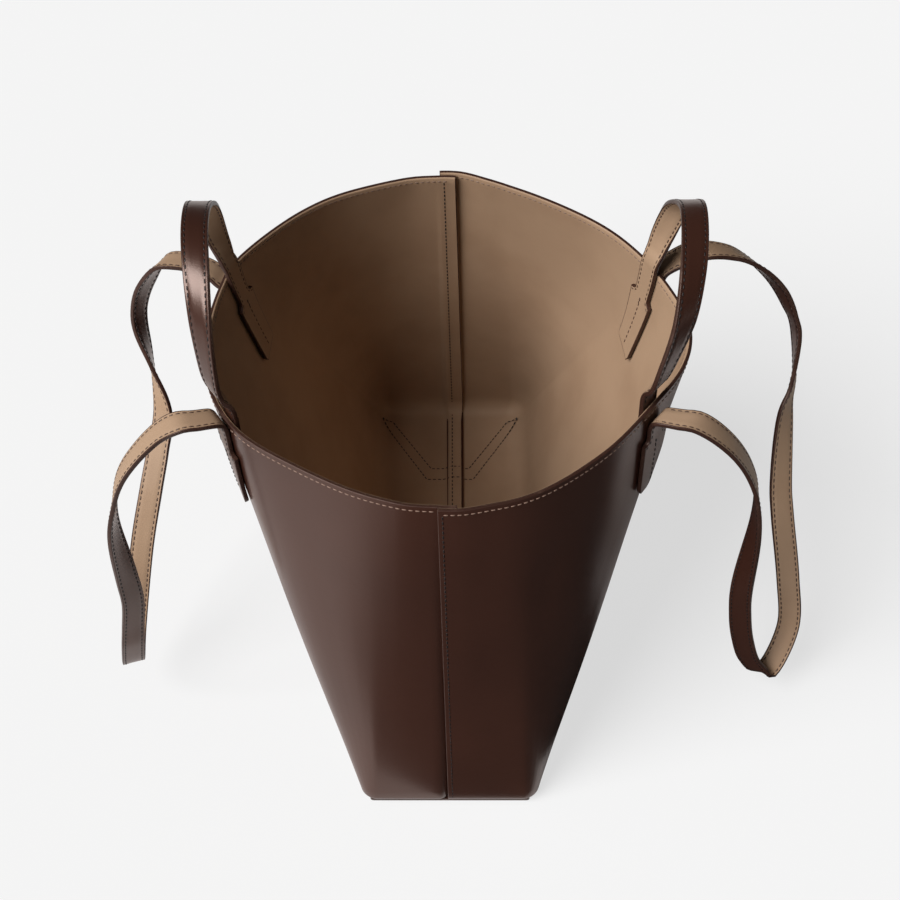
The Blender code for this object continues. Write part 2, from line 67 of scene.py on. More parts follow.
# %% Sizes of the body
SKIN = 0.0016
LINING = 0.0013
CLEARANCE = 0.0003
WALL_THICKNESS = SKIN + CLEARANCE + LINING
BASE_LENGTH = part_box("left_panel")[1].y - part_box("left_panel")[0].y - 2 * SKIN
BASE_WIDTH = 0.130
BASE_CORNER = 0.011
FOLD_RADIUS = 0.0045
EAR_THICKNESS = 0.003
FLOOR_LEVEL = EAR_THICKNESS + CLEARANCE + SKIN
RIM_HEIGHT = 0.307
RIM_STEP = 0.0015
MOUTH_HALF_WIDTH = 0.163
MOUTH_HALF_LENGTH = 0.156
BODY_SHIFT = -0.008
print(f"base {BASE_WIDTH:.3f} x {BASE_LENGTH:.3f} m, rim at {RIM_HEIGHT:.3f} m")

# %% Plan of the mouth, from the near seam round by the left, as shares of its half sizes
LEFT_MOUTH_SHARES = (
    (0.0, -1.0), (-0.30, -0.935), (-0.56, -0.80), (-0.826, -0.60), (-0.962, -0.35),
    (-1.0, -0.06), (-0.975, 0.22), (-0.90, 0.44), (-0.66, 0.735), (-0.40, 0.90),
)
RIGHT_MOUTH_SHARES = (
    (0.0, 1.0), (0.31, 0.882), (0.64, 0.655), (0.83, 0.42), (0.95, 0.16),
    (0.99, -0.04), (0.94, -0.25), (0.79, -0.48), (0.585, -0.73), (0.30, -0.94),
)
SEAM_DRIFT_AT_RIM = -0.0016
SEAM_DRIFT_AT_BASE = 0.0053
SAMPLES_PER_SPAN = 16
TURN = 2.0 * math.pi


def unit(vectors):
    return vectors / np.linalg.norm(vectors, axis=-1, keepdims=True)


def smooth_curve(points, closed):
    """Dense points on a smooth curve through the given ones, in as many columns as they have."""
    points = np.asarray(points, float)
    if closed:
        ends = np.vstack([points[-1], points, points[0], points[1]])
    else:
        ends = np.vstack([2 * points[0] - points[1], points, 2 * points[-1] - points[-2]])
    t = (np.arange(SAMPLES_PER_SPAN) / SAMPLES_PER_SPAN)[:, None]
    spans = [
        start
        + 0.5 * t * (stop - before)
        + t**2 * (before - 2.5 * start + 2 * stop - 0.5 * after)
        + 0.5 * t**3 * (3 * (start - stop) + after - before)
        for before, start, stop, after in zip(ends, ends[1:], ends[2:], ends[3:])
    ]
    return np.vstack(spans + [ends[-2]])


def running_length(points):
    steps = np.linalg.norm(np.diff(points[:, :3], axis=0), axis=1)
    return np.concatenate([[0.0], np.cumsum(steps)])


# %% Outlines that are read by the length along them
class Outline:
    """A closed plan curve that starts at the near seam and runs round by the left."""

    def __init__(self, points, normals):
        self.points = points
        self.normals = normals
        self.lengths = running_length(points)
        self.total = self.lengths[-1]

    def at(self, length, outward):
        """The points at these lengths, moved outward along the normals."""
        length = np.mod(length, self.total)
        point, normal = (
            np.stack([np.interp(length, self.lengths, column) for column in table.T], -1)
            for table in (self.points, self.normals)
        )
        return point + np.broadcast_to(outward, length.shape)[..., None] * unit(normal)


def mouth_outline():
    points = np.array(LEFT_MOUTH_SHARES + RIGHT_MOUTH_SHARES) * (MOUTH_HALF_WIDTH, MOUTH_HALF_LENGTH)
    points[:, 0] += BODY_SHIFT
    points[[0, len(LEFT_MOUTH_SHARES)], 0] += SEAM_DRIFT_AT_RIM
    dense = smooth_curve(points, closed=True)
    along = np.roll(dense[:-1], -1, axis=0) - np.roll(dense[:-1], 1, axis=0)
    normals = unit(np.stack([-along[:, 1], along[:, 0]], axis=1))
    return Outline(dense, np.vstack([normals, normals[:1]]))


MOUTH = mouth_outline()
FAR_SEAM = MOUTH.lengths[len(LEFT_MOUTH_SHARES) * SAMPLES_PER_SPAN]
print(f"the rim is {MOUTH.total:.3f} m round")

# %% Outline of the base, with the lengths at which its corners start and end
CORNER_STEPS = 10
SMALLEST_CORNER = 0.004


def base_outline(inset):
    """The rounded rectangle of the base, drawn in by an inset."""
    corner = max(BASE_CORNER - inset, SMALLEST_CORNER)
    half = np.array((BASE_WIDTH, BASE_LENGTH)) / 2 - inset - corner
    end = half[1] + corner
    points = [np.array((SEAM_DRIFT_AT_BASE, -end))]
    normals = [(0.0, -1.0)]
    marks = []
    for index, signs in enumerate(((-1, -1), (-1, 1), (1, 1), (1, -1))):
        if index == 2:
            points.append(np.array((SEAM_DRIFT_AT_BASE, end)))
            normals.append((0.0, 1.0))
        marks.append(len(points))
        for step in range(CORNER_STEPS + 1):
            angle = -TURN / 4 * (1 + index + step / CORNER_STEPS)
            normals.append((math.cos(angle), math.sin(angle)))
            points.append(signs * half + corner * np.array(normals[-1]))
        marks.append(len(points) - 1)
    outline = Outline(np.array(points + points[:1]) + (BODY_SHIFT, 0.0), np.array(normals + normals[:1]))
    return outline, list(outline.lengths[marks])


def base_ring(inset):
    """An outline inside the base's own, read by the lengths along the outer one."""
    ring, _ = base_outline(inset)
    ring.lengths, ring.total = BASE.lengths, BASE.total
    return ring


BASE, BASE_CORNERS = base_outline(0.0)
BASE_FAR_SEAM = BASE.lengths[2 * (CORNER_STEPS + 1) + 1]
print(f"the base is {BASE.total:.3f} m round")

# %% [markdown]
# A sheet of leather bends in one direction only, so a wall that goes from a rectangle up to a
# round mouth is made of flat triangles and of cones that fan out from the corners of the base.
# A loft between the two outlines would twist instead. So each length of the rim is paired with
# the length of the base that the straight line through it comes down to.

# %% Straight lines of the walls, from rim to base
LAP_WIDTH = 0.012
LAP_EASE = 0.024
FOOT_LAP_EASE = 0.003
END_FAN = 0.076
SIDE_FAN = 0.080
FAN_EASE = 0.012
EASE_SHARES = np.linspace(-1.0, 1.0, 9)


def fan_knots():
    """Matching lengths along the rim and along the base, once round and a bit more."""
    left, right = FAR_SEAM / 2, (FAR_SEAM + MOUTH.total) / 2
    rim = [0.0, LAP_WIDTH, END_FAN / 2, left - SIDE_FAN / 2, left + SIDE_FAN / 2, FAR_SEAM - END_FAN / 2]
    rim += [FAR_SEAM - LAP_WIDTH, FAR_SEAM, FAR_SEAM + LAP_WIDTH, FAR_SEAM + END_FAN / 2]
    rim += [right - SIDE_FAN / 2, right + SIDE_FAN / 2, MOUTH.total - END_FAN / 2, MOUTH.total - LAP_WIDTH]
    base = [0.0, LAP_WIDTH, *BASE_CORNERS[:4], BASE_FAR_SEAM - LAP_WIDTH, BASE_FAR_SEAM]
    base += [BASE_FAR_SEAM + LAP_WIDTH, *BASE_CORNERS[4:], BASE.total - LAP_WIDTH]
    turns = range(-1, 2)
    rim = np.concatenate([np.array(rim) + turn * MOUTH.total for turn in turns])
    return rim, np.concatenate([np.array(base) + turn * BASE.total for turn in turns])


RIM_KNOTS, BASE_KNOTS = fan_knots()


def base_length_under(length):
    around = np.asarray(length)[..., None] + EASE_SHARES * FAN_EASE
    return np.interp(around, RIM_KNOTS, BASE_KNOTS).mean(-1)


print(f"{len(RIM_KNOTS) // 3} lines divide the wall into fans")

# %% [markdown]
# Leather of this weight is stiff but not a machined shell. It has shallow hollows where it was
# pressed and where the seams hold it. They are soft swellings of a millimetre or two on top of
# the exact wall, worked out by a formula, so both layers, the tabs and the threads share them.

# %% Shallow hollows and swellings of the wall
# Each row: length along the rim and height, as shares, then their spreads, then the swelling.
SWELLING_SHARES = ((0.93, 0.74), (0.045, 0.60), (0.16, 0.45), (0.78, 0.40), (0.36, 0.55), (0.62, 0.60))
SPREAD_SHARES = ((0.022, 0.13), (0.030, 0.22), (0.07, 0.25), (0.07, 0.25), (0.05, 0.25), (0.05, 0.25))
SWELLINGS = (-0.0018, -0.0010, 0.0016, 0.0016, 0.0014, 0.0014)
END_FADE_SHARE = 0.25


def eased(share):
    share = np.clip(share, 0.0, 1.0)
    return share * share * (3 - 2 * share)


def swelling(length, height):
    """How far the wall stands out from its exact surface. It is still at the rim and the foot."""
    total = np.zeros(np.broadcast(length, height).shape)
    around = np.mod(np.asarray(length) / MOUTH.total, 1.0)
    for (place, level), (spread, rise), size in zip(SWELLING_SHARES, SPREAD_SHARES, SWELLINGS):
        apart = np.abs(around - place)
        apart = np.minimum(apart, 1.0 - apart) / spread
        total = total + size * np.exp(-(apart**2) - ((height - level) / rise) ** 2)
    height = np.asarray(height)
    return total * eased(height / END_FADE_SHARE) * eased((1 - height) / END_FADE_SHARE)


print(f"swellings up to {max(SWELLINGS) * 1000:.1f} mm, hollows up to {-min(SWELLINGS) * 1000:.1f} mm")

# %% [markdown]
# The two panels overlap at both ends and along the base. Each one steps off the middle surface
# there by half its thickness, one in and the other out, and the step fades beyond the lap. A
# Shrinkwrap modifier could press one sheet on the other, but a formula keeps the gap exact. At
# the foot the step fades over a shorter stretch, because the base holds the leather flat there.

# %% One panel's surface
RIM_INWARD_SHARE = 0.5
LAP_EASE_CLIMB = 6
PROBE = 1e-4


class Panel:
    """One side of the bag. Its surface is where the brown and the tan layer meet."""

    def __init__(self, side, start, stop):
        self.side = side
        self.sign = 1 if side == "left" else -1
        self.start = start
        self.stop = stop
        self.rim_height = RIM_HEIGHT + (0.0 if side == "left" else RIM_STEP)

    def lap(self, length, height):
        from_edge = np.minimum(length - self.start, self.stop - length)
        inward = 1 - (1 - RIM_INWARD_SHARE) * height
        share = inward if self.side == "left" else 1 - inward
        step = (WALL_THICKNESS + CLEARANCE) * share
        ease = FOOT_LAP_EASE + (LAP_EASE - FOOT_LAP_EASE) * eased(LAP_EASE_CLIMB * np.asarray(height))
        return -self.sign * step * eased(1 - (from_edge - LAP_WIDTH) / ease)

    def fold(self, length, turn, outward, inset=0.0):
        """Points of the fold at the wall's foot: turn 0 is flat on the base, 1 upright."""
        outward = outward + self.lap(length, 0.0)
        angle = turn * TURN / 4
        aside = outward * math.sin(angle) - FOLD_RADIUS * (1 - math.sin(angle)) - inset
        plan = BASE.at(base_length_under(length), aside)
        rise = FLOOR_LEVEL + FOLD_RADIUS - (FOLD_RADIUS + outward) * math.cos(angle)
        return np.concatenate([plan, rise[..., None]], -1)

    def on_base(self, length, outward, ring, aside=0.0):
        """Points of the base, on one of its rings."""
        outward = outward + self.lap(length, 0.0)
        plan = ring.at(base_length_under(length), aside)
        return np.concatenate([plan, (FLOOR_LEVEL - outward)[..., None]], -1)

    def soft_fold(self, length, turn, outward, reach, ring):
        """A wider bend between the base and the wall, drawn toward the corner they would meet in."""
        inner = self.on_base(length, outward, ring)
        corner = self.on_base(length, outward, BASE, outward + self.lap(length, 0.0))
        upper = self.off_wall(length, reach / RIM_HEIGHT, outward)
        return (1 - turn) ** 2 * inner + 2 * turn * (1 - turn) * corner + turn**2 * upper

    def wall(self, length, height):
        foot = self.fold(length, 1.0, 0.0)
        plan = MOUTH.at(length, self.lap(length, 1.0))
        top = np.concatenate([plan, np.full(length.shape + (1,), self.rim_height)], -1)
        return foot + np.asarray(height)[..., None] * (top - foot)

    def off_wall(self, length, height, outward):
        """Points of the wall, moved squarely off it."""
        length, height = np.broadcast_arrays(np.asarray(length, float), np.asarray(height, float))
        here = self.wall(length, height)
        up = self.wall(length, height + PROBE) - here
        along = self.wall(length + PROBE, height) - here
        square = unit(np.cross(up, along))
        return here + (outward + swelling(length, height))[..., None] * square


left = Panel("left", -LAP_WIDTH / 2, FAR_SEAM + LAP_WIDTH / 2)
right = Panel("right", FAR_SEAM - LAP_WIDTH / 2, MOUTH.total + LAP_WIDTH / 2)
print(f"left panel {left.stop - left.start:.3f} m along the rim, right {right.stop - right.start:.3f} m")

# %% [markdown]
# Every leather piece here is a thin sheet with a cut edge. The edge of a real one is sanded
# round and painted. A Solidify modifier with a Bevel could do it, but it would also round the
# inner corner, where the two layers are glued. So a sheet is built from its two faces: the
# glued one, and the shown one, whose points sink and draw in near the border.

# %% A closed sheet of leather
ROUNDING = 0.0005
# The paint lap carries edge paint onto the face. It is partly real paint that wraps over the edge, and partly
# painted shade for the contact shadow along an edge that lies on another piece.
PAINT_AND_SHADE_LAP = 0.00035
HALFWAY_SHARE = 0.29
ROUNDING_INSETS = (0.0, HALFWAY_SHARE * ROUNDING, ROUNDING, ROUNDING + PAINT_AND_SHADE_LAP)
ROUNDING_DROPS = (ROUNDING, HALFWAY_SHARE * ROUNDING, 0.0, 0.0)
SHARP_ANGLE = math.radians(55)


def placed(name, data):
    """A new object with this data, in the scene."""
    thing = bpy.data.objects.new(name, data)
    bpy.context.scene.collection.objects.link(thing)
    return thing


def border_edges(faces):
    """Edges that only one face uses, in that face's direction."""
    edges = {}
    for face in faces:
        for start, stop in zip(face, face[1:] + face[:1]):
            if (stop, start) in edges:
                del edges[stop, start]
            else:
                edges[start, stop] = True
    return list(edges)


def leather_sheet(name, shown, glued, faces, painted, materials):
    """A closed sheet between two faces of the same grid. Its rim and faces with painted points are edge."""
    count = len(shown)
    inner = [tuple(count + index for index in reversed(face)) for face in faces]
    rim = [(stop, start, count + start, count + stop) for start, stop in border_edges(faces)]
    mesh = bpy.data.meshes.new(name)
    mesh.from_pydata(np.vstack([shown, glued]).tolist(), [], faces + inner + rim)
    for material in materials:
        mesh.materials.append(material)
    slots = [int(any(painted[index] for index in face)) for face in faces] + [0] * len(inner) + [1] * len(rim)
    mesh.polygons.foreach_set("material_index", slots)
    mesh.shade_smooth()
    mesh.set_sharp_from_angle(angle=SHARP_ANGLE)
    return placed(name, mesh)


def grid_faces(rows, columns, flip):
    """Four-sided faces over a grid of points."""
    faces = []
    for row in range(rows - 1):
        for column in range(columns - 1):
            corner = row * columns + column
            face = (corner, corner + 1, corner + 1 + columns, corner + columns)
            faces.append(face[::-1] if flip else face)
    return faces


print("an edge is rounded by", ROUNDING * 1000, "mm")

# %% [markdown]
# The materials come before the pieces. They are built of nodes on the object's own coordinates,
# so they need no unwrapping and no picture, and stay sharp when the camera comes close. A few
# helpers add a texture, mix two colours, bring a value into a range and lay a bump over another.

# %% Helpers for node materials
def new_material(name, roughness):
    material = bpy.data.materials.new(name)
    material.use_nodes = True
    shader = material.node_tree.nodes["Principled BSDF"]
    shader.inputs["Roughness"].default_value = roughness
    return material, material.node_tree, shader


def texture(tree, kind, scale, **sockets):
    """A texture of this kind on the object's own coordinates, in features per metre."""
    place = tree.nodes.new("ShaderNodeTexCoord")
    node = tree.nodes.new(kind)
    tree.links.new(place.outputs["Object"], node.inputs["Vector"])
    node.inputs["Scale"].default_value = scale
    for name, value in sockets.items():
        node.inputs[name].default_value = value
    return node


def mixed_colour(tree, share, first, second):
    mix = tree.nodes.new("ShaderNodeMix")
    mix.data_type = "RGBA"
    tree.links.new(share, mix.inputs["Factor"])
    for socket, value in (("A", first), ("B", second)):
        found = [entry for entry in mix.inputs if entry.name == socket and entry.type == "RGBA"][0]
        if isinstance(value, tuple):
            found.default_value = (*value, 1.0)
        else:
            tree.links.new(value, found)
    return [entry for entry in mix.outputs if entry.type == "RGBA"][0]


def ranged(tree, value, low, high, to_low, to_high):
    node = tree.nodes.new("ShaderNodeMapRange")
    node.interpolation_type = "SMOOTHSTEP"
    tree.links.new(value, node.inputs["Value"])
    for name, number in (("From Min", low), ("From Max", high), ("To Min", to_low), ("To Max", to_high)):
        node.inputs[name].default_value = number
    return node.outputs["Result"]


def bumped(tree, shader, height, distance, strength=1.0, under=None):
    """A bump over the bump that is under it."""
    node = tree.nodes.new("ShaderNodeBump")
    node.inputs["Distance"].default_value = distance
    node.inputs["Strength"].default_value = strength
    tree.links.new(height, node.inputs["Height"])
    if under is not None:
        tree.links.new(under.outputs["Normal"], node.inputs["Normal"])
    tree.links.new(node.outputs["Normal"], shader.inputs["Normal"])
    return node


# %% [markdown]
# Smooth brown leather is seen by its sheen more than by its grain: a low, soft gloss, tiny pores
# and a tone that drifts a little over a hand's width. One rough gloss would look like plastic, so
# a second, sharper one, the coat, lies over it like the wax of the finish. Pores and creases are
# faint bumps, because real relief this small would cost millions of faces.

# %% Brown leather of the outside
BROWN = (0.047, 0.0180, 0.0115)
DEEP_BROWN = (0.037, 0.0140, 0.0090)
WARM_GLOSS = (1.0, 0.76, 0.66)
BROWN_DRIFTS_PER_METRE = 9.0
BROWN_PORES_PER_METRE = 1100.0
CREASES_PER_METRE = 160.0
CREASE_DEPTH = 0.00006
PORE_DEPTH = 0.00003


def brown_leather():
    material, tree, shader = new_material("smooth_brown_leather", 0.40)
    drift = texture(tree, "ShaderNodeTexNoise", BROWN_DRIFTS_PER_METRE, Detail=3.0, Roughness=0.5)
    share = ranged(tree, drift.outputs["Fac"], 0.25, 0.75, 0.0, 1.0)
    colour = mixed_colour(tree, share, BROWN, DEEP_BROWN)
    pores = texture(tree, "ShaderNodeTexVoronoi", BROWN_PORES_PER_METRE)
    tree.links.new(colour, shader.inputs["Base Color"])
    gloss = ranged(tree, drift.outputs["Fac"], 0.2, 0.8, 0.27, 0.33)
    tree.links.new(gloss, shader.inputs["Roughness"])
    creases = texture(tree, "ShaderNodeTexNoise", CREASES_PER_METRE, Detail=4.0, Roughness=0.6)
    under = bumped(tree, shader, creases.outputs["Fac"], CREASE_DEPTH)
    bumped(tree, shader, pores.outputs["Distance"], PORE_DEPTH, under=under)
    shader.inputs["Specular IOR Level"].default_value = 0.62
    shader.inputs["Specular Tint"].default_value = (*WARM_GLOSS, 1.0)
    shader.inputs["Coat Weight"].default_value = 0.30
    shader.inputs["Coat Roughness"].default_value = 0.24
    shader.inputs["Coat Tint"].default_value = (*WARM_GLOSS, 1.0)
    return material


# %% [markdown]
# The tan side is the unglazed face of the leather: matt, a little velvety, with a finer grain and
# blotches a few centimetres wide. It needs no coat, only less gloss and a stronger fine bump.

# %% Tan leather of the inside
TAN = (0.375, 0.247, 0.158)
SHADED_TAN = (0.325, 0.208, 0.130)
TAN_DRIFTS_PER_METRE = 12.0
TAN_GRAIN_PER_METRE = 420.0
TAN_PORES_PER_METRE = 1500.0
FINE_DEPTH = 0.00008


def tan_leather():
    material, tree, shader = new_material("matt_tan_leather", 0.58)
    drift = texture(tree, "ShaderNodeTexNoise", TAN_DRIFTS_PER_METRE, Detail=4.0, Roughness=0.55)
    share = ranged(tree, drift.outputs["Fac"], 0.35, 0.7, 0.0, 1.0)
    tree.links.new(mixed_colour(tree, share, TAN, SHADED_TAN), shader.inputs["Base Color"])
    grain = texture(tree, "ShaderNodeTexNoise", TAN_GRAIN_PER_METRE, Detail=5.0, Roughness=0.65)
    under = bumped(tree, shader, grain.outputs["Fac"], FINE_DEPTH)
    pores = texture(tree, "ShaderNodeTexVoronoi", TAN_PORES_PER_METRE)
    bumped(tree, shader, pores.outputs["Distance"], PORE_DEPTH, under=under)
    shader.inputs["Specular IOR Level"].default_value = 0.25
    return material


# %% [markdown]
# The cut edges are brushed with dark paint that has worn paler in places, so the paint mixes two
# browns by a noise. The threads are waxed. They are light along the rim outside and close to the
# tan along it inside, dark on the seams, the ears and the brown side of the strips, and brown on
# their tan side. Each is one colour with a fine fibre in it.

# %% Painted edge and threads
EDGE_BROWN = (0.040, 0.017, 0.012)
WORN_EDGE = (0.085, 0.046, 0.034)
WEAR_PER_METRE = 60.0
RIPPLES_PER_METRE = 500.0
FIBRES_PER_METRE = 1800.0
FIBRE_SHADE_SHARE = 0.6
DARK_THREAD = (0.014, 0.006, 0.0045)
LIGHT_THREAD = (0.30, 0.185, 0.135)
TONE_THREAD = (0.26, 0.17, 0.125)
BROWN_THREAD = (0.095, 0.050, 0.032)


def edge_paint():
    material, tree, shader = new_material("edge_paint", 0.38)
    wear = texture(tree, "ShaderNodeTexNoise", WEAR_PER_METRE, Detail=6.0, Roughness=0.7)
    share = ranged(tree, wear.outputs["Fac"], 0.52, 0.75, 0.0, 1.0)
    tree.links.new(mixed_colour(tree, share, EDGE_BROWN, WORN_EDGE), shader.inputs["Base Color"])
    ripple = texture(tree, "ShaderNodeTexNoise", RIPPLES_PER_METRE, Detail=2.0, Roughness=0.5)
    bumped(tree, shader, ripple.outputs["Fac"], FINE_DEPTH)
    shader.inputs["Specular Tint"].default_value = (*WARM_GLOSS, 1.0)
    return material


def waxed_thread(name, colour):
    material, tree, shader = new_material(name, 0.5)
    fibre = texture(tree, "ShaderNodeTexNoise", FIBRES_PER_METRE, Detail=2.0, Roughness=0.5)
    darker = tuple(FIBRE_SHADE_SHARE * channel for channel in colour)
    tree.links.new(mixed_colour(tree, fibre.outputs["Fac"], darker, colour), shader.inputs["Base Color"])
    bumped(tree, shader, fibre.outputs["Fac"], FINE_DEPTH)
    return material


brown = brown_leather()
tan = tan_leather()
paint = edge_paint()
dark_thread = waxed_thread("dark_thread", DARK_THREAD)
light_thread = waxed_thread("light_thread", LIGHT_THREAD)
tone_thread = waxed_thread("tone_thread", TONE_THREAD)
brown_thread = waxed_thread("brown_thread", BROWN_THREAD)
print(len(bpy.data.materials), "materials")

# %% [markdown]
# Each panel is one skin with one lining. The rows of its grid run from the base, round the fold
# and up the wall to the rim. The skin is creased tightly at the fold, while the lining inside
# takes it in a wide, soft bend, so the two have their own rows there. The columns stand close
# together at the two laps, where the sheet steps, and the outermost rows and columns form the
# rounded edge. A bent plane with modifiers would leave the laps and the folds to chance.

# %% Grid of a panel
PANEL_COLUMNS = 150
WALL_ROWS = 44
FOLD_STEPS = 7
LAP_STEPS = 7
FLAT_RING = 0.003
SOFT_REACH = 0.016
LINING_RIM_DROPS = (0.0009, 0.0006, 0.0002, 0.0)
FLAT_DROPS = (0.0, 0.0, 0.0)
PAINTED_RINGS = 2


def spaced(start, stop, steps):
    return list(np.linspace(start, stop, steps + 1)[1:])


def panel_columns(panel):
    """Lengths of the columns, and how far each one sinks at the edge."""
    near = [panel.start + inset for inset in ROUNDING_INSETS]
    near += spaced(near[-1], panel.start + LAP_WIDTH, LAP_STEPS)
    near += [near[-1] + LAP_EASE * (step / LAP_STEPS) ** 2 for step in range(1, LAP_STEPS + 1)]
    far = [panel.start + panel.stop - length for length in reversed(near)]
    lengths = near + spaced(near[-1], far[0], PANEL_COLUMNS)[:-1] + far
    drops = np.zeros(len(lengths))
    drops[: len(ROUNDING_DROPS)] = ROUNDING_DROPS
    drops[-len(ROUNDING_DROPS):] = ROUNDING_DROPS[::-1]
    return np.array(lengths), drops


def panel_points(panel, lengths, offset, rim_drops, side_drops, sign):
    """Rows of points of one face of a layer, off the panel's surface and sunk at the edges."""
    face = offset - sign * side_drops
    turns = np.linspace(0.0, 1.0, FOLD_STEPS + 1)
    if sign > 0:
        rows = [panel.fold(lengths, 0.0, face, inset=FLAT_RING)]
        rows += [panel.fold(lengths, turn, face) for turn in turns]
        foot = 0.0
    else:
        rows = [panel.on_base(lengths, face, base_ring(SOFT_REACH + FLAT_RING))]
        rows += [panel.soft_fold(lengths, turn, face, SOFT_REACH, base_ring(SOFT_REACH)) for turn in turns]
        foot = SOFT_REACH / RIM_HEIGHT
    heights = spaced(foot, 1.0 - ROUNDING_INSETS[-1] / RIM_HEIGHT, WALL_ROWS)
    drops = [0.0] * len(heights) + list(rim_drops[2::-1])
    heights += [1.0 - inset / RIM_HEIGHT for inset in ROUNDING_INSETS[2::-1]]
    for height, drop in zip(heights, drops):
        sunk = offset - sign * np.maximum(side_drops, drop)
        rows.append(panel.off_wall(lengths, height, sunk))
    return rows


# %% Skins and linings of the panels
def panel_layer(name, panel, glued, shown, material, node):
    sign = 1 if shown > glued else -1
    lengths, drops = panel_columns(panel)
    rim_drops = ROUNDING_DROPS if sign > 0 else LINING_RIM_DROPS
    outer = panel_points(panel, lengths, shown, rim_drops, drops, sign)
    inner = panel_points(panel, lengths, glued, FLAT_DROPS, 0.0 * drops, sign)
    rows, count = len(outer), len(lengths)
    faces = grid_faces(rows, count, flip=sign > 0)
    lap_columns = len(ROUNDING_INSETS) + LAP_STEPS
    for column in range(lap_columns):
        across = count - 1 - column
        face = (column, column + 1, across - 1, across)
        faces.append(face if sign > 0 else face[::-1])
    base = tuple(range(lap_columns, count - lap_columns))
    faces.append(base if sign > 0 else base[::-1])
    edge = np.zeros((rows, count), bool)
    edge[-PAINTED_RINGS:, :] = sign > 0
    edge[:, :PAINTED_RINGS] = edge[:, -PAINTED_RINGS:] = True
    piece = leather_sheet(name, np.vstack(outer), np.vstack(inner), faces, edge.ravel(), (material, paint))
    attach(piece, "bag")
    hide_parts(node)
    print(f"{name}: {len(piece.data.polygons)} faces")
    return piece


GLUE_LINE = 0.00003
INSIDE = -CLEARANCE - LINING
for panel in (left, right):
    node = f"{panel.side}_panel"
    panel_layer(f"{panel.side}_skin", panel, GLUE_LINE, SKIN, brown, node)
    panel_layer(f"{panel.side}_lining", panel, -GLUE_LINE, INSIDE, tan, f"{node}_lining")

# %% [markdown]
# A handle or strap is one strip of leather. At both ends it widens into a tab that is sewn flat
# on the wall, so a tab's points are found on the wall itself: a few Newton steps give the place
# on the wall that lies at a given distance across and down from the rim.

# %% Tabs on the wall
STRAP_WIDTH = 0.017
STRAP_SKIN = 0.0014
STRAP_LINING = 0.0013
TAB_WIDTH = 0.027
SHOULDER_DROP = 0.026
SEWN_GAP = 0.0009
TAB_SPLAY = math.radians(4.0)
NEWTON_STEPS = 9
WIDE_PROBE = 1e-3


class Tab:
    """A sewn end. Its own axes run across and down the wall from the rim."""

    def __init__(self, panel, share, splay, outward, top, drop):
        near, far = (panel.start, panel.stop) if panel.side == "left" else (panel.stop, panel.start)
        self.panel = panel
        self.length = near + share * (far - near)
        self.outward = outward
        self.top = top
        self.drop = drop
        one = np.ones(1)
        self.origin = panel.off_wall(self.length, one, outward)[0]
        along = unit(panel.off_wall(self.length + PROBE, one, outward)[0] - self.origin)
        ruling = panel.off_wall(self.length, 0.0 * one, outward)[0] - self.origin
        down = unit(ruling - (ruling @ along) * along)
        self.axes = np.stack([
            math.cos(splay) * along - math.sin(splay) * down,
            math.cos(splay) * down + math.sin(splay) * along,
        ])
        self.normal = np.cross(along, down)

    def at(self, across, down, height):
        """The points of the wall at these distances, moved off it by the tab's own gap and a height."""
        aim = np.stack([across, down], -1)
        place = np.broadcast_to((self.length, 1.0), aim.shape).copy()
        outward = self.outward + height
        for _ in range(NEWTON_STEPS):
            here = self.measure(place, outward)
            steps = WIDE_PROBE * np.eye(2)
            slopes = [(self.measure(place + step, outward) - here) / WIDE_PROBE for step in steps]
            place += np.linalg.solve(np.stack(slopes, -1), (aim - here)[..., None])[..., 0]
        return self.panel.off_wall(place[..., 0], place[..., 1], outward)

    def measure(self, place, outward):
        return (self.panel.off_wall(place[..., 0], place[..., 1], outward) - self.origin) @ self.axes.T


# %% [markdown]
# Between its tabs a strap follows one smooth line. The points of that line, and the turn of the
# strap's width at each one, are the same as those of the solids, so the strip lies in its place.

# %% Sizes of the handles and straps
NECK_LENGTH = 0.016
NECK_GAP = 0.001
INNER_TAB_TOPS = (0.002, 0.002)
INNER_TAB_DROP = 0.077
LEFT_OUTER_TAB_TOPS = (-0.009, -0.020)
RIGHT_OUTER_TAB_TOPS = (-0.019, -0.014)
OUTER_TAB_DROP = 0.071
LEFT_HANDLE_RISE = 0.0947
RIGHT_HANDLE_RISE = 0.0924
LEFT_HANDLE_LEAN = 0.0126
RIGHT_HANDLE_LEAN = 0.0197
LEFT_STRAP_DROP = 0.2547
RIGHT_STRAP_DROP = 0.2585
LEFT_STRAP_REACH = 0.0948
RIGHT_STRAP_REACH = 0.1242
LEFT_TAB_SHARES = (0.3363, 0.6075)
RIGHT_TAB_SHARES = (0.3431, 0.622)
HANDLE_LEAD_SHARES = ((0.28, 0.0), (0.61, 0.08))
STRAP_LEAD_SHARES = ((0.22, 0.0), (0.50, 0.073), (0.71, 0.284))

# Shares of the way along, of the rise or drop and of the lean or reach. The turns are the
# width's, in degrees from straight across the bag.
LEFT_HANDLE_SHARES = (
    (-0.000, 0.173, 0.535), (0.005, 0.331, 0.745), (0.088, 0.659, 0.869), (0.271, 0.909, 0.929),
    (0.521, 1.000, 1.000), (0.770, 0.907, 0.968), (0.951, 0.655, 0.831), (1.016, 0.311, 0.565),
    (1.014, 0.153, 0.305),
)
LEFT_HANDLE_TURNS = (
    54.0, 48.0, 38.0, 28.0, 20.0, 8.0, -18.0, -48.0, -66.0,
)
RIGHT_HANDLE_SHARES = (
    (-0.023, 0.176, 0.243), (-0.021, 0.344, 0.431), (0.070, 0.664, 0.821), (0.259, 0.910, 0.975),
    (0.517, 1.000, 1.000), (0.773, 0.908, 0.944), (0.956, 0.661, 0.657), (1.021, 0.343, 0.357),
    (1.019, 0.167, 0.180),
)
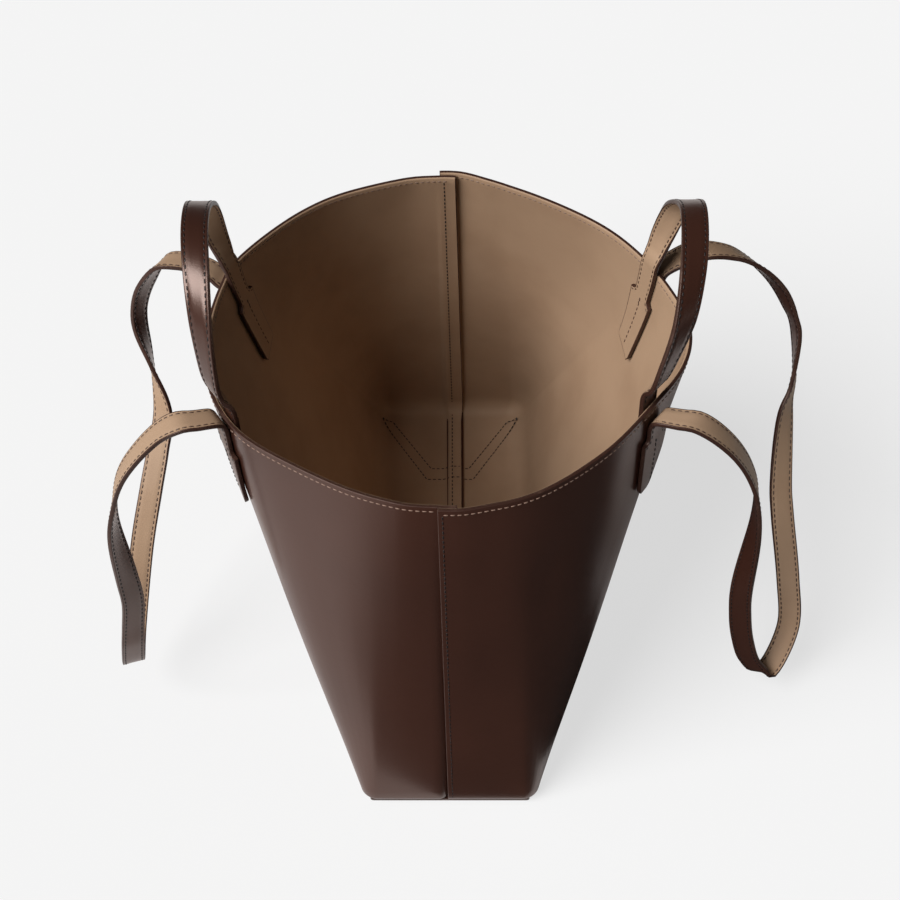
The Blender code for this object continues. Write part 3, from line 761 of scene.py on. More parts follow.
RIGHT_HANDLE_TURNS = (
    50.0, 45.0, 36.0, 28.0, 20.0, 8.0, -14.0, -40.0, -56.0,
)
LEFT_STRAP_SHARES = (
    (-0.036, -0.051, 0.157), (-0.046, -0.051, 0.278), (-0.044, -0.019, 0.413), (-0.063, 0.044, 0.578),
    (-0.076, 0.126, 0.722), (-0.087, 0.219, 0.808), (-0.103, 0.340, 0.862), (-0.114, 0.539, 0.856),
    (-0.122, 0.655, 0.855), (-0.131, 0.778, 0.902), (-0.133, 0.875, 0.943), (-0.069, 1.000, 0.997),
    (0.082, 0.929, 0.975), (0.276, 0.679, 0.845), (0.453, 0.527, 0.736), (0.617, 0.443, 0.667),
    (0.760, 0.355, 0.611), (0.944, 0.237, 0.682), (1.033, 0.138, 0.730), (1.061, 0.065, 0.707),
    (1.073, -0.005, 0.631), (1.071, -0.079, 0.492), (1.058, -0.090, 0.337), (1.046, -0.077, 0.207),
    (1.031, -0.061, 0.120),
)
LEFT_STRAP_TURNS = (
    58.0, 65.0, 74.0, 79.0, 82.0, 88.0, 104.0, 134.0, 143.0, 150.0, 157.0, 162.0,
    170.0, 180.0, 190.0, 202.0, 222.0, 260.0, 290.0, 305.0, 314.0, 303.0, 295.0, 290.0,
    288.0,
)
RIGHT_STRAP_SHARES = (
    (-0.033, -0.052, 0.115), (-0.041, -0.049, 0.211), (-0.048, -0.014, 0.322), (-0.053, 0.046, 0.436),
    (-0.052, 0.122, 0.524), (-0.070, 0.205, 0.584), (-0.095, 0.334, 0.614), (-0.117, 0.580, 0.614),
    (-0.126, 0.710, 0.641), (-0.134, 0.824, 0.688), (-0.128, 0.942, 0.769), (-0.105, 1.000, 0.892),
    (0.076, 0.906, 1.000), (0.185, 0.745, 0.951), (0.371, 0.567, 0.867), (0.489, 0.491, 0.841),
    (0.737, 0.364, 0.837), (0.859, 0.288, 0.864), (0.985, 0.168, 0.848), (1.026, 0.102, 0.793),
    (1.054, 0.034, 0.710), (1.065, -0.023, 0.601), (1.064, -0.068, 0.475), (1.056, -0.088, 0.370),
    (1.045, -0.094, 0.267), (1.040, -0.083, 0.174), (1.033, -0.060, 0.099),
)
RIGHT_STRAP_TURNS = (
    53.0, 60.0, 70.0, 78.0, 82.0, 88.0, 104.0, 138.0, 150.0, 155.0, 158.0, 160.0,
    164.0, 172.0, 188.0, 200.0, 230.0, 252.0, 282.0, 298.0, 310.0, 313.0, 308.0, 303.0,
    299.0, 298.0, 298.0,
)
FULL_TURN = 360.0


# %% The middle line of a handle or strap
class Route:
    """The line from the near tab to the far tab, with the turn of the strap's width."""

    def __init__(self, near, far, leads, shares, turns, rise, reach):
        self.sign = near.panel.sign
        start, stop = (tab.at(np.zeros(1), np.full(1, -tab.top - NECK_GAP), 0.0)[0] for tab in (near, far))
        across = unit((stop - start) * (1, 1, 0))
        out = np.array([-self.sign * across[1], self.sign * across[0], 0.0])
        near_turn = self.turn_of(-self.sign * near.axes[0], turns[0])
        far_turn = self.turn_of(self.sign * far.axes[0], turns[-1])
        points = [[*self.lead(start, near, -leads[0][0], 0.0), near_turn], [*start, near_turn]]
        points += [[*self.lead(start, near, *lead), near_turn] for lead in leads]
        for (along_share, rise_share, reach_share), turn in zip(shares, turns):
            point = start + along_share * (stop - start) + reach_share * reach * out
            point[2] += rise_share * rise
            points.append([*point, turn])
        points += [[*self.lead(stop, far, *lead), far_turn] for lead in reversed(leads)]
        points += [[*stop, far_turn], [*self.lead(stop, far, -leads[0][0], 0.0), far_turn]]
        self.dense = smooth_curve(points, closed=False)[SAMPLES_PER_SPAN:-SAMPLES_PER_SPAN]
        self.lengths = running_length(self.dense)
        self.total = self.lengths[-1]

    @staticmethod
    def lead(start, tab, up_share, out_share):
        return start + NECK_LENGTH * (out_share * tab.normal - up_share * tab.axes[1])

    def turn_of(self, width, nearby):
        """The turn of a width direction in degrees, on the same lap as a turn nearby."""
        turn = math.degrees(math.atan2(-width[1], self.sign * width[0]))
        return turn + FULL_TURN * round((nearby - turn) / FULL_TURN)

    def place(self, lengths):
        return np.stack([np.interp(lengths, self.lengths, column) for column in self.dense.T], -1)

    def frame(self, lengths):
        """The middle points, the width directions and the directions of the brown face."""
        values = self.place(lengths)
        along = unit((self.place(lengths + PROBE) - self.place(lengths - PROBE))[:, :3])
        turn = np.radians(values[:, 3])
        width = np.stack([self.sign * np.cos(turn), -np.sin(turn), 0 * turn], -1)
        width = unit(width - (width * along).sum(-1, keepdims=True) * along)
        return values[:, :3], width, self.sign * np.cross(width, along)


print("courses of", len(LEFT_STRAP_SHARES), "and", len(RIGHT_STRAP_SHARES), "points for the straps")

# %% [markdown]
# One number runs along the whole strip: below zero on the near tab, then the length of the
# route, then on to the foot of the far tab. The strip's faces and its threads both ask for
# points by that number, so a stitch never leaves its leather.

# %% A whole strip, from the foot of one tab to the foot of the other
class Strip:
    def __init__(self, name, panel):
        inside = name.endswith("handle")
        courses = {
            "left_handle": (LEFT_HANDLE_SHARES, LEFT_HANDLE_TURNS, LEFT_HANDLE_RISE, LEFT_HANDLE_LEAN),
            "right_handle": (RIGHT_HANDLE_SHARES, RIGHT_HANDLE_TURNS, RIGHT_HANDLE_RISE, RIGHT_HANDLE_LEAN),
            "left_strap": (LEFT_STRAP_SHARES, LEFT_STRAP_TURNS, -LEFT_STRAP_DROP, LEFT_STRAP_REACH),
            "right_strap": (RIGHT_STRAP_SHARES, RIGHT_STRAP_TURNS, -RIGHT_STRAP_DROP, RIGHT_STRAP_REACH),
        }
        if inside:
            tops, self.drop, leads = INNER_TAB_TOPS, INNER_TAB_DROP, HANDLE_LEAD_SHARES
            outward = -(CLEARANCE + LINING + SEWN_GAP + STRAP_SKIN)
        else:
            tops = LEFT_OUTER_TAB_TOPS if panel.side == "left" else RIGHT_OUTER_TAB_TOPS
            self.drop, leads = OUTER_TAB_DROP, STRAP_LEAD_SHARES
            outward = SKIN + SEWN_GAP + STRAP_LINING + CLEARANCE
        shares = LEFT_TAB_SHARES if panel.side == "left" else RIGHT_TAB_SHARES
        splays = (-panel.sign * TAB_SPLAY, panel.sign * TAB_SPLAY)
        self.name = name
        self.sign = panel.sign
        self.inside = inside
        self.tabs = [Tab(panel, *place, outward, top, self.drop) for *place, top in zip(shares, splays, tops)]
        self.route = Route(*self.tabs, leads, *courses[name])
        self.start, self.stop = (-(self.drop + tab.top + NECK_GAP) for tab in self.tabs)
        self.stop = self.route.total - self.stop

    def down(self, place):
        """How far down its tab each place lies. It is below zero on the route."""
        near, far = self.tabs
        on_near = -near.top - NECK_GAP - place
        on_far = -far.top - NECK_GAP + place - self.route.total
        return np.where(place < self.route.total / 2, on_near, on_far)

    def points(self, place, across, height):
        """Points at these places along the strip and across it, this high on its brown side."""
        place, across, height = np.broadcast_arrays(*(np.asarray(v, float) for v in (place, across, height)))
        shape = place.shape
        place, across, height = (values.ravel() for values in (place, across, height))
        found = np.empty((place.size, 3))
        down = self.down(place)
        ends = (place < 0, place > self.route.total)
        for tab, chosen, side in zip(self.tabs, ends, (-self.sign, self.sign)):
            if chosen.any():
                found[chosen] = tab.at(side * across[chosen], down[chosen], height[chosen])
        free = ~(ends[0] | ends[1])
        if free.any():
            centre, width, face = self.route.frame(place[free])
            found[free] = centre + across[free, None] * width + height[free, None] * face
        return found.reshape(*shape, 3)


strips = [Strip(f"{panel.side}_{kind}", panel) for panel in (left, right) for kind in ("handle", "strap")]
for strip in strips:
    leather = strip.stop - strip.start
    print(f"{strip.name}: {leather:.3f} m of leather, {strip.route.total:.3f} m between tabs")

# %% [markdown]
# The shoulder of a tab is a concave curve that a round punch leaves, and the foot has two
# clipped corners. Both come from one function that gives the strip's half width at any depth.
# Cutting them out with a Boolean would leave ragged faces on a sheet this thin.

# %% Outline of a strip
SHOULDER_LENGTH = 0.0045
SHOULDER_BELOW = 0.0010
FOOT_CLIP = 0.0032
FOOT_CLIP_WIDTH = 0.0018
GROOVE_INSET = 0.0023
GROOVE_HALF_WIDTH = 0.0006
GROOVE_DEPTH = 0.00022
SHOULDER_ROWS = 10
TAB_ROWS = 12
TAB_TOP_ROWS = 6
NECK_ROWS = 14
NECK_STRETCH = 1.5 * NECK_LENGTH
ROUTE_STEP = 0.004


def half_width(strip, place):
    down = strip.down(place)
    share = np.clip((down - SHOULDER_DROP + SHOULDER_LENGTH - SHOULDER_BELOW) / SHOULDER_LENGTH, 0.0, 1.0)
    widened = 1 - np.sqrt(np.clip(1 - share**2, 0.0, 1.0))
    clip = np.clip((down - strip.drop + FOOT_CLIP) / FOOT_CLIP, 0.0, 1.0) * FOOT_CLIP_WIDTH
    return (STRAP_WIDTH + widened * (TAB_WIDTH - STRAP_WIDTH)) / 2 - clip


def strip_places(strip):
    """Places of the rows: close together at the feet and at the shoulders."""
    foot = [strip.drop - inset for inset in (*ROUNDING_INSETS, FOOT_CLIP / 2, FOOT_CLIP)]
    low = SHOULDER_DROP + SHOULDER_BELOW
    high = low - SHOULDER_LENGTH
    shoulder_shares = np.sin(np.linspace(0.0, TURN / 4, SHOULDER_ROWS))[::-1]
    downs = foot + spaced(foot[-1], low + ROUNDING, TAB_ROWS)
    downs += [high + share * SHOULDER_LENGTH for share in shoulder_shares]
    near_tab, far_tab = strip.tabs
    near_downs = downs + spaced(high, -near_tab.top, TAB_TOP_ROWS)
    far_downs = downs + spaced(high, -far_tab.top, TAB_TOP_ROWS)
    total, neck = strip.route.total, NECK_STRETCH
    near = [-near_tab.top - NECK_GAP - down for down in near_downs]
    far = [total + far_tab.top + NECK_GAP + down for down in reversed(far_downs)]
    middle = spaced(0.0, neck, NECK_ROWS)
    middle += spaced(neck, total - neck, int((total - 2 * neck) / ROUTE_STEP))
    middle += spaced(total - neck, total, NECK_ROWS)
    return np.array(near + [0.0] + middle + far)


# %% [markdown]
# A strip is two thin layers, brown and tan, glued back to back. A Curve with a bevel could sweep
# them, but it couldn't widen into a tab or follow the wall, so each layer is a grid of points
# along and across the strip. Two shallow grooves near its edges take the stitches.

# %% Brown and tan layer of a strip
COLUMN_SHARES = (-0.5, 0.0, 0.5)
GROOVE_STEPS = (-1, 0, 1)
STRIP_PAINT_AND_SHADE_RINGS = 3


def strip_layer(name, strip, glued, shown, material, nodes):
    sign = 1 if shown > glued else -1
    places = strip_places(strip)[:, None]
    halves = half_width(strip, places)
    fade = eased(-strip.down(places) / GROOVE_INSET + 2.0)
    insets = [*ROUNDING_INSETS] + [GROOVE_INSET + step * GROOVE_HALF_WIDTH for step in GROOVE_STEPS]
    left_side = [-halves + inset for inset in insets]
    inner = halves - insets[-1]
    middle = [share * inner for share in COLUMN_SHARES]
    across = np.hstack(left_side + middle + [-side for side in left_side[::-1]])
    drops = np.zeros(across.shape)
    rings = len(ROUNDING_DROPS)
    groove = rings + 1
    drops[:, :rings] = ROUNDING_DROPS
    drops[:, -rings:] = ROUNDING_DROPS[::-1]
    drops[:, [groove, -groove - 1]] = GROOVE_DEPTH * fade
    drops[:rings] = np.maximum(drops[:rings], np.array(ROUNDING_DROPS)[:, None])
    drops[-rings:] = np.maximum(drops[-rings:], np.array(ROUNDING_DROPS)[::-1, None])
    outer = strip.points(places, across, shown - sign * drops).reshape(-1, 3)
    under = strip.points(places, across, glued).reshape(-1, 3)
    rows, columns = across.shape
    faces = grid_faces(rows, columns, flip=sign * strip.sign < 0)
    edge = np.ones(across.shape, bool)
    # The outer rings are edge paint. The innermost of them is the lap band, which is partly painted shade
    # along the border.
    edge[STRIP_PAINT_AND_SHADE_RINGS:-STRIP_PAINT_AND_SHADE_RINGS, STRIP_PAINT_AND_SHADE_RINGS:-STRIP_PAINT_AND_SHADE_RINGS] = False
    piece = leather_sheet(name, outer, under, faces, edge.ravel(), (material, paint))
    bend(piece, strip)
    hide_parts(*nodes)
    return piece


# %% [markdown]
# Each strip and its rows of stitches have their place baked into their points, and the joint of
# the strap is looked up. At its limit a strap still lifts the inner edge of its tab by about 2 mm.

# %% A strip's place, baked into its points
UP = np.array((0.0, 0.0, 1.0))


def bend(piece, strip):
    """Looks up the strip's joint and, for a strap, the way to its middle, then bakes the piece's place."""
    joint = [entry for entry in frame["joints"] if entry["child"] == strip.name][0]
    middle = np.array(joint["pos_m"])
    if not strip.inside:
        toward = strip.points(np.array([strip.route.total / 2]), 0.0, 0.0)[0] - middle
    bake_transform(piece)


PARTS_OF_STRIP = ("", "_near_tab", "_far_tab", "_near_neck", "_far_neck")
STRAP_INSIDE = -CLEARANCE - STRAP_LINING
LAYERS = (("brown", "", GLUE_LINE, STRAP_SKIN, brown), ("tan", "_lining", -GLUE_LINE, STRAP_INSIDE, tan))
for strip in strips:
    for side, ending, glued, shown, material in LAYERS:
        nodes = [f"{strip.name}{part}{ending}" for part in PARTS_OF_STRIP]
        strip_layer(f"{strip.name}_{side}_side", strip, glued, shown, material, nodes)
print(f"{2 * len(strips)} layers of handles and straps")

# %% [markdown]
# Where two corners of a box-shaped bag are folded under the base, they lie there as two flat
# ears. Each is cut from the panels, so it is double leather with the same sanded edge. A box
# with a Bevel would do for a block, but an ear tapers, so it is an outline drawn in ring by ring.

# %% Ears under the base
EAR_DEPTH = 0.087
EAR_SIDE = 0.0605
EAR_NOSE = 0.0225
EAR_INSET = 0.001
EAR_CORNER = 0.004
EAR_CORNER_STEPS = 6


def ear_ring(sign, inset):
    """The outline of an ear, drawn in by an inset."""
    edge, nose = BASE_LENGTH / 2 - EAR_INSET - inset, BASE_LENGTH / 2 - EAR_DEPTH + inset
    side_half, nose_half = EAR_SIDE - inset, EAR_NOSE - inset / 2
    corners = [(-side_half, edge), (side_half, edge), (nose_half, nose), (-nose_half, nose)]
    corners = [np.array(corner) for corner in corners]
    ring = []
    for before, corner, after in zip(corners[-1:] + corners[:-1], corners, corners[1:] + corners[:1]):
        start, stop = (corner + EAR_CORNER * unit(other - corner) for other in (before, after))
        t = np.linspace(0.0, 1.0, EAR_CORNER_STEPS + 1)[:, None]
        ring.append((1 - t) ** 2 * start + 2 * t * (1 - t) * corner + t * t * stop)
    return np.vstack(ring) * (1, sign) + (BODY_SHIFT, 0.0)


def base_ear(name, sign):
    outlines = [ear_ring(sign, inset) for inset in ROUNDING_INSETS]
    count = len(outlines[0])
    shown = [np.column_stack([ring, np.full(count, drop)]) for ring, drop in zip(outlines, ROUNDING_DROPS)]
    glued = [np.column_stack([ring, np.full(count, EAR_THICKNESS)]) for ring in outlines]
    faces = []
    last = (len(outlines) - 1) * count
    for low in range(0, last, count):
        for column in range(count):
            after = (column + 1) % count
            faces.append((low + column, low + after, low + count + after, low + count + column))
    faces.append(tuple(last + column for column in range(count)))
    if sign < 0:
        faces = [face[::-1] for face in faces]
    # The edge paint reaches the lap band here too, which is partly painted shade along the border.
    edge = np.arange(len(outlines) * count) < last
    piece = leather_sheet(name, np.vstack(shown), np.vstack(glued), faces, edge, (brown, paint))
    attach(piece, "bag")
    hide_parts(name)
    return piece


for name, sign in (("near_base_ear", -1), ("far_base_ear", 1)):
    base_ear(name, sign)
print("2 ears under the base")

# %% [markdown]
# Topstitching makes a bag look sewn. Each stitch is a short length of waxed thread that comes up
# out of one hole and dives into the next. A repeated picture would blur at this scale, so each
# stitch is a small capsule, and all the stitches of one run are one object. Its rings stand a
# little higher in the middle than at the ends, where the thread goes down into the leather.

# %% Stitches along a path
STITCH_PITCH = 0.0042
STRAP_PITCH = 0.0045
STITCH_FILL = 0.75
THREAD_WIDTH = 0.0010
THREAD_HEIGHT = 0.0006
STITCH_SIDES = 6
RING_PLACE_SHARES = (0.06, 0.14, 0.32, 0.68, 0.86, 0.94)
RING_SIZE_SHARES = (0.5, 0.85, 1.0, 1.0, 0.85, 0.5)
RING_LIFTS = (-0.00012, 0.00002, 0.00012, 0.00012, 0.00002, -0.00012)


def capsule_faces():
    faces = [tuple(range(STITCH_SIDES))[::-1]]
    for ring in range(len(RING_PLACE_SHARES) - 1):
        for side in range(STITCH_SIDES):
            after = (side + 1) % STITCH_SIDES
            low, high = ring * STITCH_SIDES, (ring + 1) * STITCH_SIDES
            faces.append((low + side, low + after, high + after, high + side))
    last = (len(RING_PLACE_SHARES) - 1) * STITCH_SIDES
    return np.array(faces[1:]), [faces[0], tuple(range(last, last + STITCH_SIDES))]


def stitching(name, paths, material, pitch=STITCH_PITCH, size=1.0):
    """One object with a row of stitches along each path of points and normals."""
    sides, caps = capsule_faces()
    count_per = STITCH_SIDES * len(RING_PLACE_SHARES)
    vertices, faces, made = [], [], 0
    turns = TURN * np.arange(STITCH_SIDES) / STITCH_SIDES
    for points, normals in paths:
        lengths = running_length(points)
        count = max(1, round(lengths[-1] / pitch))
        holes = np.linspace(0.0, lengths[-1], count + 1)
        ends = np.stack([np.interp(holes, lengths, column) for column in points.T], -1)
        middles = (holes[1:] + holes[:-1]) / 2
        up = unit(np.stack([np.interp(middles, lengths, column) for column in normals.T], -1))
        along = unit(ends[1:] - ends[:-1])
        aside = unit(np.cross(up, along))
        for start, stop, lift, side in zip(ends[:-1], ends[1:], up, aside):
            for place, share, rise in zip(RING_PLACE_SHARES, RING_SIZE_SHARES, RING_LIFTS):
                place = 0.5 + STITCH_FILL * (place - 0.5)
                centre = start + place * (stop - start) + size * rise * lift
                ring = (
                    np.cos(turns)[:, None] * side * THREAD_WIDTH / 2
                    + np.sin(turns)[:, None] * lift * THREAD_HEIGHT / 2
                )
                vertices.append(centre + size * share * ring)
            offset = made * count_per
            faces += (sides + offset).tolist()
            faces += [tuple(index + offset for index in cap) for cap in caps]
            made += 1
    mesh = bpy.data.meshes.new(name)
    mesh.from_pydata(np.vstack(vertices).tolist(), [], faces)
    mesh.materials.append(material)
    mesh.shade_smooth()
    print(f"{name}: {made} stitches")
    return placed(name, mesh)


# %% [markdown]
# One row runs round below the rim on each side, and one row closes the lap down the near end,
# under the base and up the far end. A row is a path on the wall, worked out by the same surface
# that the leather has, so it lies on the swellings and on the steps of the laps too.

# %% Threads of the body
RIM_STITCH_INSET = 0.0038
SEAM_STITCH_INSET = 0.003
PATH_STEP = 0.0015
SEAM_END_SHARES = (0.985, 0.02)
SEAM_POINTS = 200
FOLD_TURNS = (1.0, 0.75, 0.5, 0.25, 0.0)
HALF_LAP = LAP_WIDTH / 2
LAP_GAP = 0.002
ROUND_END = 0.006


def wall_path(panel, lengths, heights, outward):
    sign = 1 if outward > 0 else -1
    points = panel.off_wall(lengths, heights, outward)
    return points, sign * (panel.off_wall(lengths, heights, outward + PROBE) - points)


def rim_path(panel, start, stop, outward):
    lengths = np.linspace(start, stop, int((stop - start) / PATH_STEP))
    return wall_path(panel, lengths, 1 - RIM_STITCH_INSET / RIM_HEIGHT, outward)


def seam_path(panel, outward):
    """Down the near end, along the base and up the far end."""
    turns = 0 if panel.side == "left" else 1
    near = HALF_LAP - SEAM_STITCH_INSET + turns * MOUTH.total
    far = FAR_SEAM - HALF_LAP + SEAM_STITCH_INSET
    sign = 1 if outward > 0 else -1
    points, normals = [], []
    heights = np.linspace(*SEAM_END_SHARES, SEAM_POINTS)
    for length, downward in ((near, True), (far, False)):
        lengths = np.full(heights.shape, length)
        wall, wall_up = wall_path(panel, lengths, heights, outward)
        here = np.array([length])
        folds = [panel.fold(here, turn, outward)[0] for turn in FOLD_TURNS]
        raised = [panel.fold(here, turn, outward + PROBE)[0] for turn in FOLD_TURNS]
        run = np.vstack([wall, folds])
        run_up = np.vstack([wall_up, sign * (np.array(raised) - np.array(folds))])
        points.append(run if downward else run[::-1])
        normals.append(run_up if downward else run_up[::-1])
    return np.vstack(points), np.vstack(normals)


body_threads = (
    ("rim_topstitching_outside", light_thread, (
        rim_path(left, HALF_LAP + LAP_GAP, FAR_SEAM - HALF_LAP - LAP_GAP, SKIN),
        rim_path(right, right.start + ROUND_END, right.stop - SEAM_STITCH_INSET, SKIN),
    )),
    ("rim_topstitching_inside", tone_thread, (
        rim_path(left, left.start + SEAM_STITCH_INSET, left.stop - ROUND_END, INSIDE),
        rim_path(right, right.start + LAP_WIDTH + LAP_GAP, right.stop - LAP_WIDTH - LAP_GAP, INSIDE),
    )),
    ("seam_stitching_outside", dark_thread, (seam_path(right, SKIN),)),
    ("seam_stitching_inside", dark_thread, (seam_path(left, INSIDE),)),
)
for name, thread, paths in body_threads:
    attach(stitching(name, paths, thread), "bag")

# %% [markdown]
# The ears are held from inside by two rows each, which show on the tan base as a double line in
# the shape of the ear. The base isn't flat for a thread: it steps up at the lap and rises toward
# the walls, so the height of each point is worked out from the same sizes.

# %% Double rows that hold the ears, on the base inside
# Each line: the nose's place along the base and its half width, then the same at the side.
EAR_LINES = ((0.1095, 0.0200, 0.1765, 0.0610), (0.1215, 0.0164, 0.1765, 0.0518))
EAR_LINE_END = 0.175


def base_height(x):
    """The height of the lining on the base, which steps up where the left panel laps over."""
    beyond = SEAM_DRIFT_AT_BASE + BODY_SHIFT + LAP_WIDTH / 2 - x
    step = (WALL_THICKNESS + CLEARANCE) * eased(1 - (beyond - LAP_WIDTH) / FOOT_LAP_EASE)
    return FLOOR_LEVEL + CLEARANCE + LINING + np.where(beyond > 0, step, 0.0)


def fold_rise(x, y):
    """How far the soft bend toward the walls has risen over the base."""
    sides = np.minimum(BASE_WIDTH / 2 - np.abs(x), BASE_LENGTH / 2 - np.abs(y)) - WALL_THICKNESS
    turn = 1 - np.sqrt(np.clip(sides / SOFT_REACH, 0.0, 1.0))
    return turn**2 * SOFT_REACH


def end_half_width(nose, nose_half, side, side_half):
    """How far from the middle an ear line ends."""
    slope = (side_half - nose_half) / (side - nose)
    return nose_half + (EAR_LINE_END - nose) * slope


def line_paths(sign, corners):
    """Straight runs from corner to corner, on the lining."""
    paths = []
    for start, stop in zip(corners, corners[1:]):
        steps = int(np.linalg.norm(stop - start) / PATH_STEP)
        line = start + np.linspace(0.0, 1.0, steps)[:, None] * (stop - start)
        x, y = line[:, 0] + BODY_SHIFT, sign * line[:, 1]
        points = np.column_stack([x, y, base_height(x) + fold_rise(x - BODY_SHIFT, y)])
        paths.append((points, np.broadcast_to(UP, points.shape)))
    return paths


def ear_line(sign, nose, nose_half, side, side_half):
    end_half = end_half_width(nose, nose_half, side, side_half)
    corners = [(-end_half, EAR_LINE_END), (-nose_half, nose), (nose_half, nose), (end_half, EAR_LINE_END)]
    return line_paths(sign, np.array(corners))


for end, sign in (("near", -1), ("far", 1)):
    paths = [path for line in EAR_LINES for path in ear_line(sign, *line)]
    ends = [end_half_width(*line) for line in EAR_LINES]
    for side in (-1, 1):
        paths += line_paths(sign, np.array([(side * half, EAR_LINE_END) for half in ends]))
    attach(stitching(f"{end}_ear_stitching", paths, dark_thread), "bag")

# %% [markdown]
# A handle has one row of stitches close to each edge. At the tab each row hooks outward along
# the punched shoulder, and one row down the middle of the tab holds it to the wall, doubled
# where it starts. Each row has its place baked into its points, as its leather has.

# %% Threads of the handles and straps
TACK_LENGTH = 0.007
TACK_OFFSET = 0.0005
FACES = (("brown", STRAP_SKIN, dark_thread), ("tan", STRAP_INSIDE, brown_thread))
EDGE_STEP = 0.0004
TAB_ROW_TOP = SHOULDER_DROP + 0.001
TAB_ROW_INSET = 0.004


def strip_path(strip, place, across, height):
    sign = 1 if height > 0 else -1
    points = strip.points(place, across, height)
    return points, sign * (strip.points(place, across, height + PROBE) - points)


def edge_rows(strip, height):
    """A row along each edge, hooked outward at both shoulders."""
    low = SHOULDER_DROP + SHOULDER_BELOW
    ends = [-tab.top - NECK_GAP for tab in strip.tabs]
    start = ends[0] - low
    stop = strip.route.total - ends[1] + low
    place = np.linspace(start, stop, int((stop - start) / EDGE_STEP))
    half = half_width(strip, place)
    slope = np.gradient(half, place)
    square = np.sqrt(1 + slope**2)
    moved = place + GROOVE_INSET * slope / square
    inset = half - GROOVE_INSET / square
    return [strip_path(strip, moved, side * inset, height) for side in (-1, 1)]


def tab_rows(strip, height):
    """The row down the middle of each tab, doubled where it starts."""
    paths = []
    for index, tab in enumerate(strip.tabs):
        whole = (TAB_ROW_TOP, strip.drop - TAB_ROW_INSET, 0.0)
        doubled = (TAB_ROW_TOP, TAB_ROW_TOP + TACK_LENGTH, TACK_OFFSET)
        for top, foot, aside in (whole, doubled):
            down = np.linspace(top, foot, int((foot - top) / PATH_STEP) + 2)
            along = tab.top + NECK_GAP + down
            place = -along if index == 0 else strip.route.total + along
            paths.append(strip_path(strip, place, aside, height))
    return paths


for strip in strips:
    for face, height, thread in FACES:
        raised = math.copysign(abs(height) - GROOVE_DEPTH / 2, height)
        name = f"{strip.name}_{face}_side_stitching"
        rows = edge_rows(strip, raised) + tab_rows(strip, height)
        bend(stitching(name, rows, thread, STRAP_PITCH), strip)

# %% [markdown]
# The bag stands on a plain pale floor that fills the view. To the camera the floor is partly a
# plain white, as a retouched background is, so it stays pale where the shadow falls. More lamps
# would also make it pale, but they would wash out the leather, so only what the camera sees of
# the floor is changed, and the light on the bag stays as it is.

# %% Floor
FLOOR_SIZE = 12.0
FLOOR_COLOUR = (0.80, 0.80, 0.80, 1.0)
FLOOR_WHITE = (0.955, 0.955, 0.955, 1.0)
FLOOR_WHITE_SHARE = 0.70
FLOOR_SIGNS = ((-1, -1), (1, -1), (1, 1), (-1, 1))


def flat_mesh(name, corners, height):
    """One level face. Corners that run round to the left make it face upward."""
    mesh = bpy.data.meshes.new(name)
    mesh.from_pydata([(x, y, height) for x, y in corners], [], [tuple(range(len(corners)))])
    return mesh


floor_corners = [(x * FLOOR_SIZE / 2, y * FLOOR_SIZE / 2) for x, y in FLOOR_SIGNS]
floor_mesh = flat_mesh("studio_floor", floor_corners, 0.0)
floor = placed("studio_floor", floor_mesh)
floor_material, floor_tree, floor_shader = new_material("studio_floor", 0.9)
floor_shader.inputs["Base Color"].default_value = FLOOR_COLOUR
floor_shader.inputs["Specular IOR Level"].default_value = 0.1
retouched = floor_tree.nodes.new("ShaderNodeEmission")
retouched.inputs["Color"].default_value = FLOOR_WHITE
seen = floor_tree.nodes.new("ShaderNodeLightPath")
part = floor_tree.nodes.new("ShaderNodeMath")
part.operation = "MULTIPLY"
floor_tree.links.new(seen.outputs["Is Camera Ray"], part.inputs[0])
part.inputs[1].default_value = FLOOR_WHITE_SHARE
both = floor_tree.nodes.new("ShaderNodeMixShader")
floor_tree.links.new(part.outputs["Value"], both.inputs["Fac"])
floor_tree.links.new(floor_shader.outputs["BSDF"], both.inputs[1])
floor_tree.links.new(retouched.outputs["Emission"], both.inputs[2])
floor_tree.links.new(both.outputs["Shader"], floor_tree.nodes["Material Output"].inputs["Surface"])
floor_mesh.materials.append(floor_material)
print(f"floor {FLOOR_SIZE:.0f} m wide")

# %% [markdown]
# A broad lamp high on the left stands for the studio's large softbox. It lights the right half of
# the inside and casts the soft shadow. A sun with a wide angle does the same as a large area lamp
# and lights the whole floor evenly.

# %% Key light
KEY_FROM = (-0.62, -0.39, 0.70)
KEY_STRENGTH = 4.3
KEY_ANGLE = math.radians(42.0)

key_data = bpy.data.lights.new("key_softbox", "SUN")
key_data.energy = KEY_STRENGTH
key_data.angle = KEY_ANGLE
key = placed("key_softbox", key_data)
tilt = math.atan2(math.hypot(KEY_FROM[0], KEY_FROM[1]), KEY_FROM[2])
key.rotation_euler = (tilt, 0.0, math.atan2(KEY_FROM[1], KEY_FROM[0]) + TURN / 4)
print(f"the key comes down at {90 - math.degrees(tilt):.0f} degrees")

# %% [markdown]
# The sheen on a smooth wall is a blurred picture of the floor in front of it. In the photograph
# only the left wall shines, as if that floor grew dark toward the right, so a card that does so
# lies there. It is hidden from all but the reflections: it doesn't show and casts no shadow.

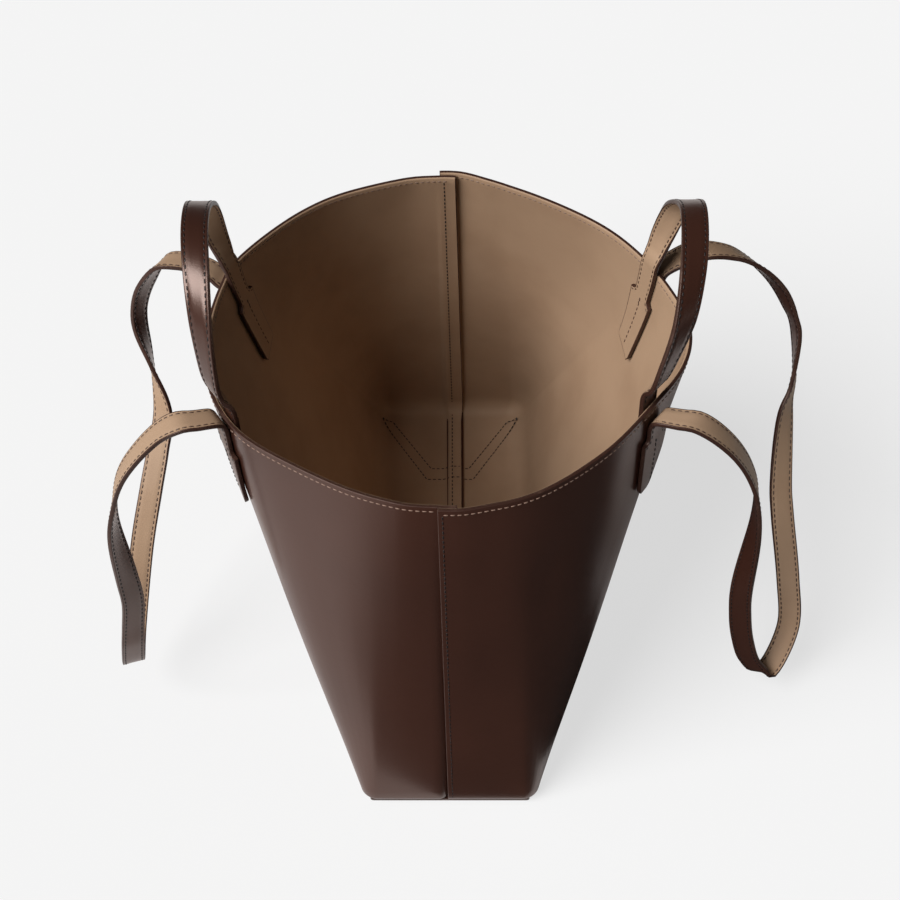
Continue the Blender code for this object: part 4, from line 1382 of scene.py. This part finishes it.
# %% Dark card for the reflections
CARD_CORNERS = (
    (-0.6, -0.36), (-0.14, -0.28), (-0.01, -0.20), (0.09, -0.20),
    (0.09, -0.08), (3.0, -0.08), (3.0, -3.0), (-0.6, -3.0),
)
CARD_LIFT = 0.002
CARD_DARK = (0.02, 0.02, 0.02)
CARD_SLANT = (1.0, -0.5, 0.0)
CARD_FADE = (-0.17, 0.11)
card_mesh = flat_mesh("studio_card", CARD_CORNERS[::-1], CARD_LIFT)
card_material, card_tree, card_shader = new_material("studio_card", 1.0)
spot = card_tree.nodes.new("ShaderNodeTexCoord")
slanted = card_tree.nodes.new("ShaderNodeVectorMath")
slanted.operation = "DOT_PRODUCT"
card_tree.links.new(spot.outputs["Object"], slanted.inputs[0])
slanted.inputs[1].default_value = CARD_SLANT
toward_right = ranged(card_tree, slanted.outputs["Value"], *CARD_FADE, 0.0, 1.0)
card_shade = mixed_colour(card_tree, toward_right, FLOOR_COLOUR[:3], CARD_DARK)
card_tree.links.new(card_shade, card_shader.inputs["Base Color"])
card_mesh.materials.append(card_material)
card = placed("studio_card", card_mesh)
card.visible_camera = card.visible_diffuse = card.visible_shadow = card.visible_transmission = False
print(f"card of {len(CARD_CORNERS)} corners")

# %% [markdown]
# The world fills the shade a little. Its strength for the camera is set apart, so the background
# is as pale as the floor while hardly any light comes from it.

# %% World
WORLD_STRENGTH = 0.05
BACKGROUND_STRENGTH = 0.905

world = bpy.data.worlds.new("studio")
bpy.context.scene.world = world
world.use_nodes = True
tree = world.node_tree
background = tree.nodes["Background"]
path = tree.nodes.new("ShaderNodeLightPath")
strength = tree.nodes.new("ShaderNodeMix")
strength.data_type = "FLOAT"
tree.links.new(path.outputs["Is Camera Ray"], strength.inputs["Factor"])
strength.inputs["A"].default_value = WORLD_STRENGTH
strength.inputs["B"].default_value = BACKGROUND_STRENGTH
tree.links.new(strength.outputs["Result"], background.inputs["Strength"])
background.inputs["Color"].default_value = (1.0, 1.0, 1.0, 1.0)
print("world strength", WORLD_STRENGTH)

# %% [markdown]
# The camera stands where the photograph was taken from: in front of the narrow end and well
# above it, with a lens long enough that the near rim doesn't look swollen.

# %% Camera, at the photograph's view
CAMERA_PLACE = (BODY_SHIFT, -0.744, 1.0634)
CAMERA_TILT = math.radians(40.0)
LENS = 62.68
SENSOR = 36.0
camera_data = bpy.data.cameras.new("camera")
camera_data.lens = LENS
camera_data.sensor_width = SENSOR
camera = placed("camera", camera_data)
camera.location = CAMERA_PLACE
camera.rotation_euler = (CAMERA_TILT, 0.0, 0.0)
bpy.context.scene.camera = camera
bpy.context.scene.view_settings.view_transform = "Standard"
print(f"lens of {LENS} mm, tilted {math.degrees(CAMERA_TILT):.0f} degrees")
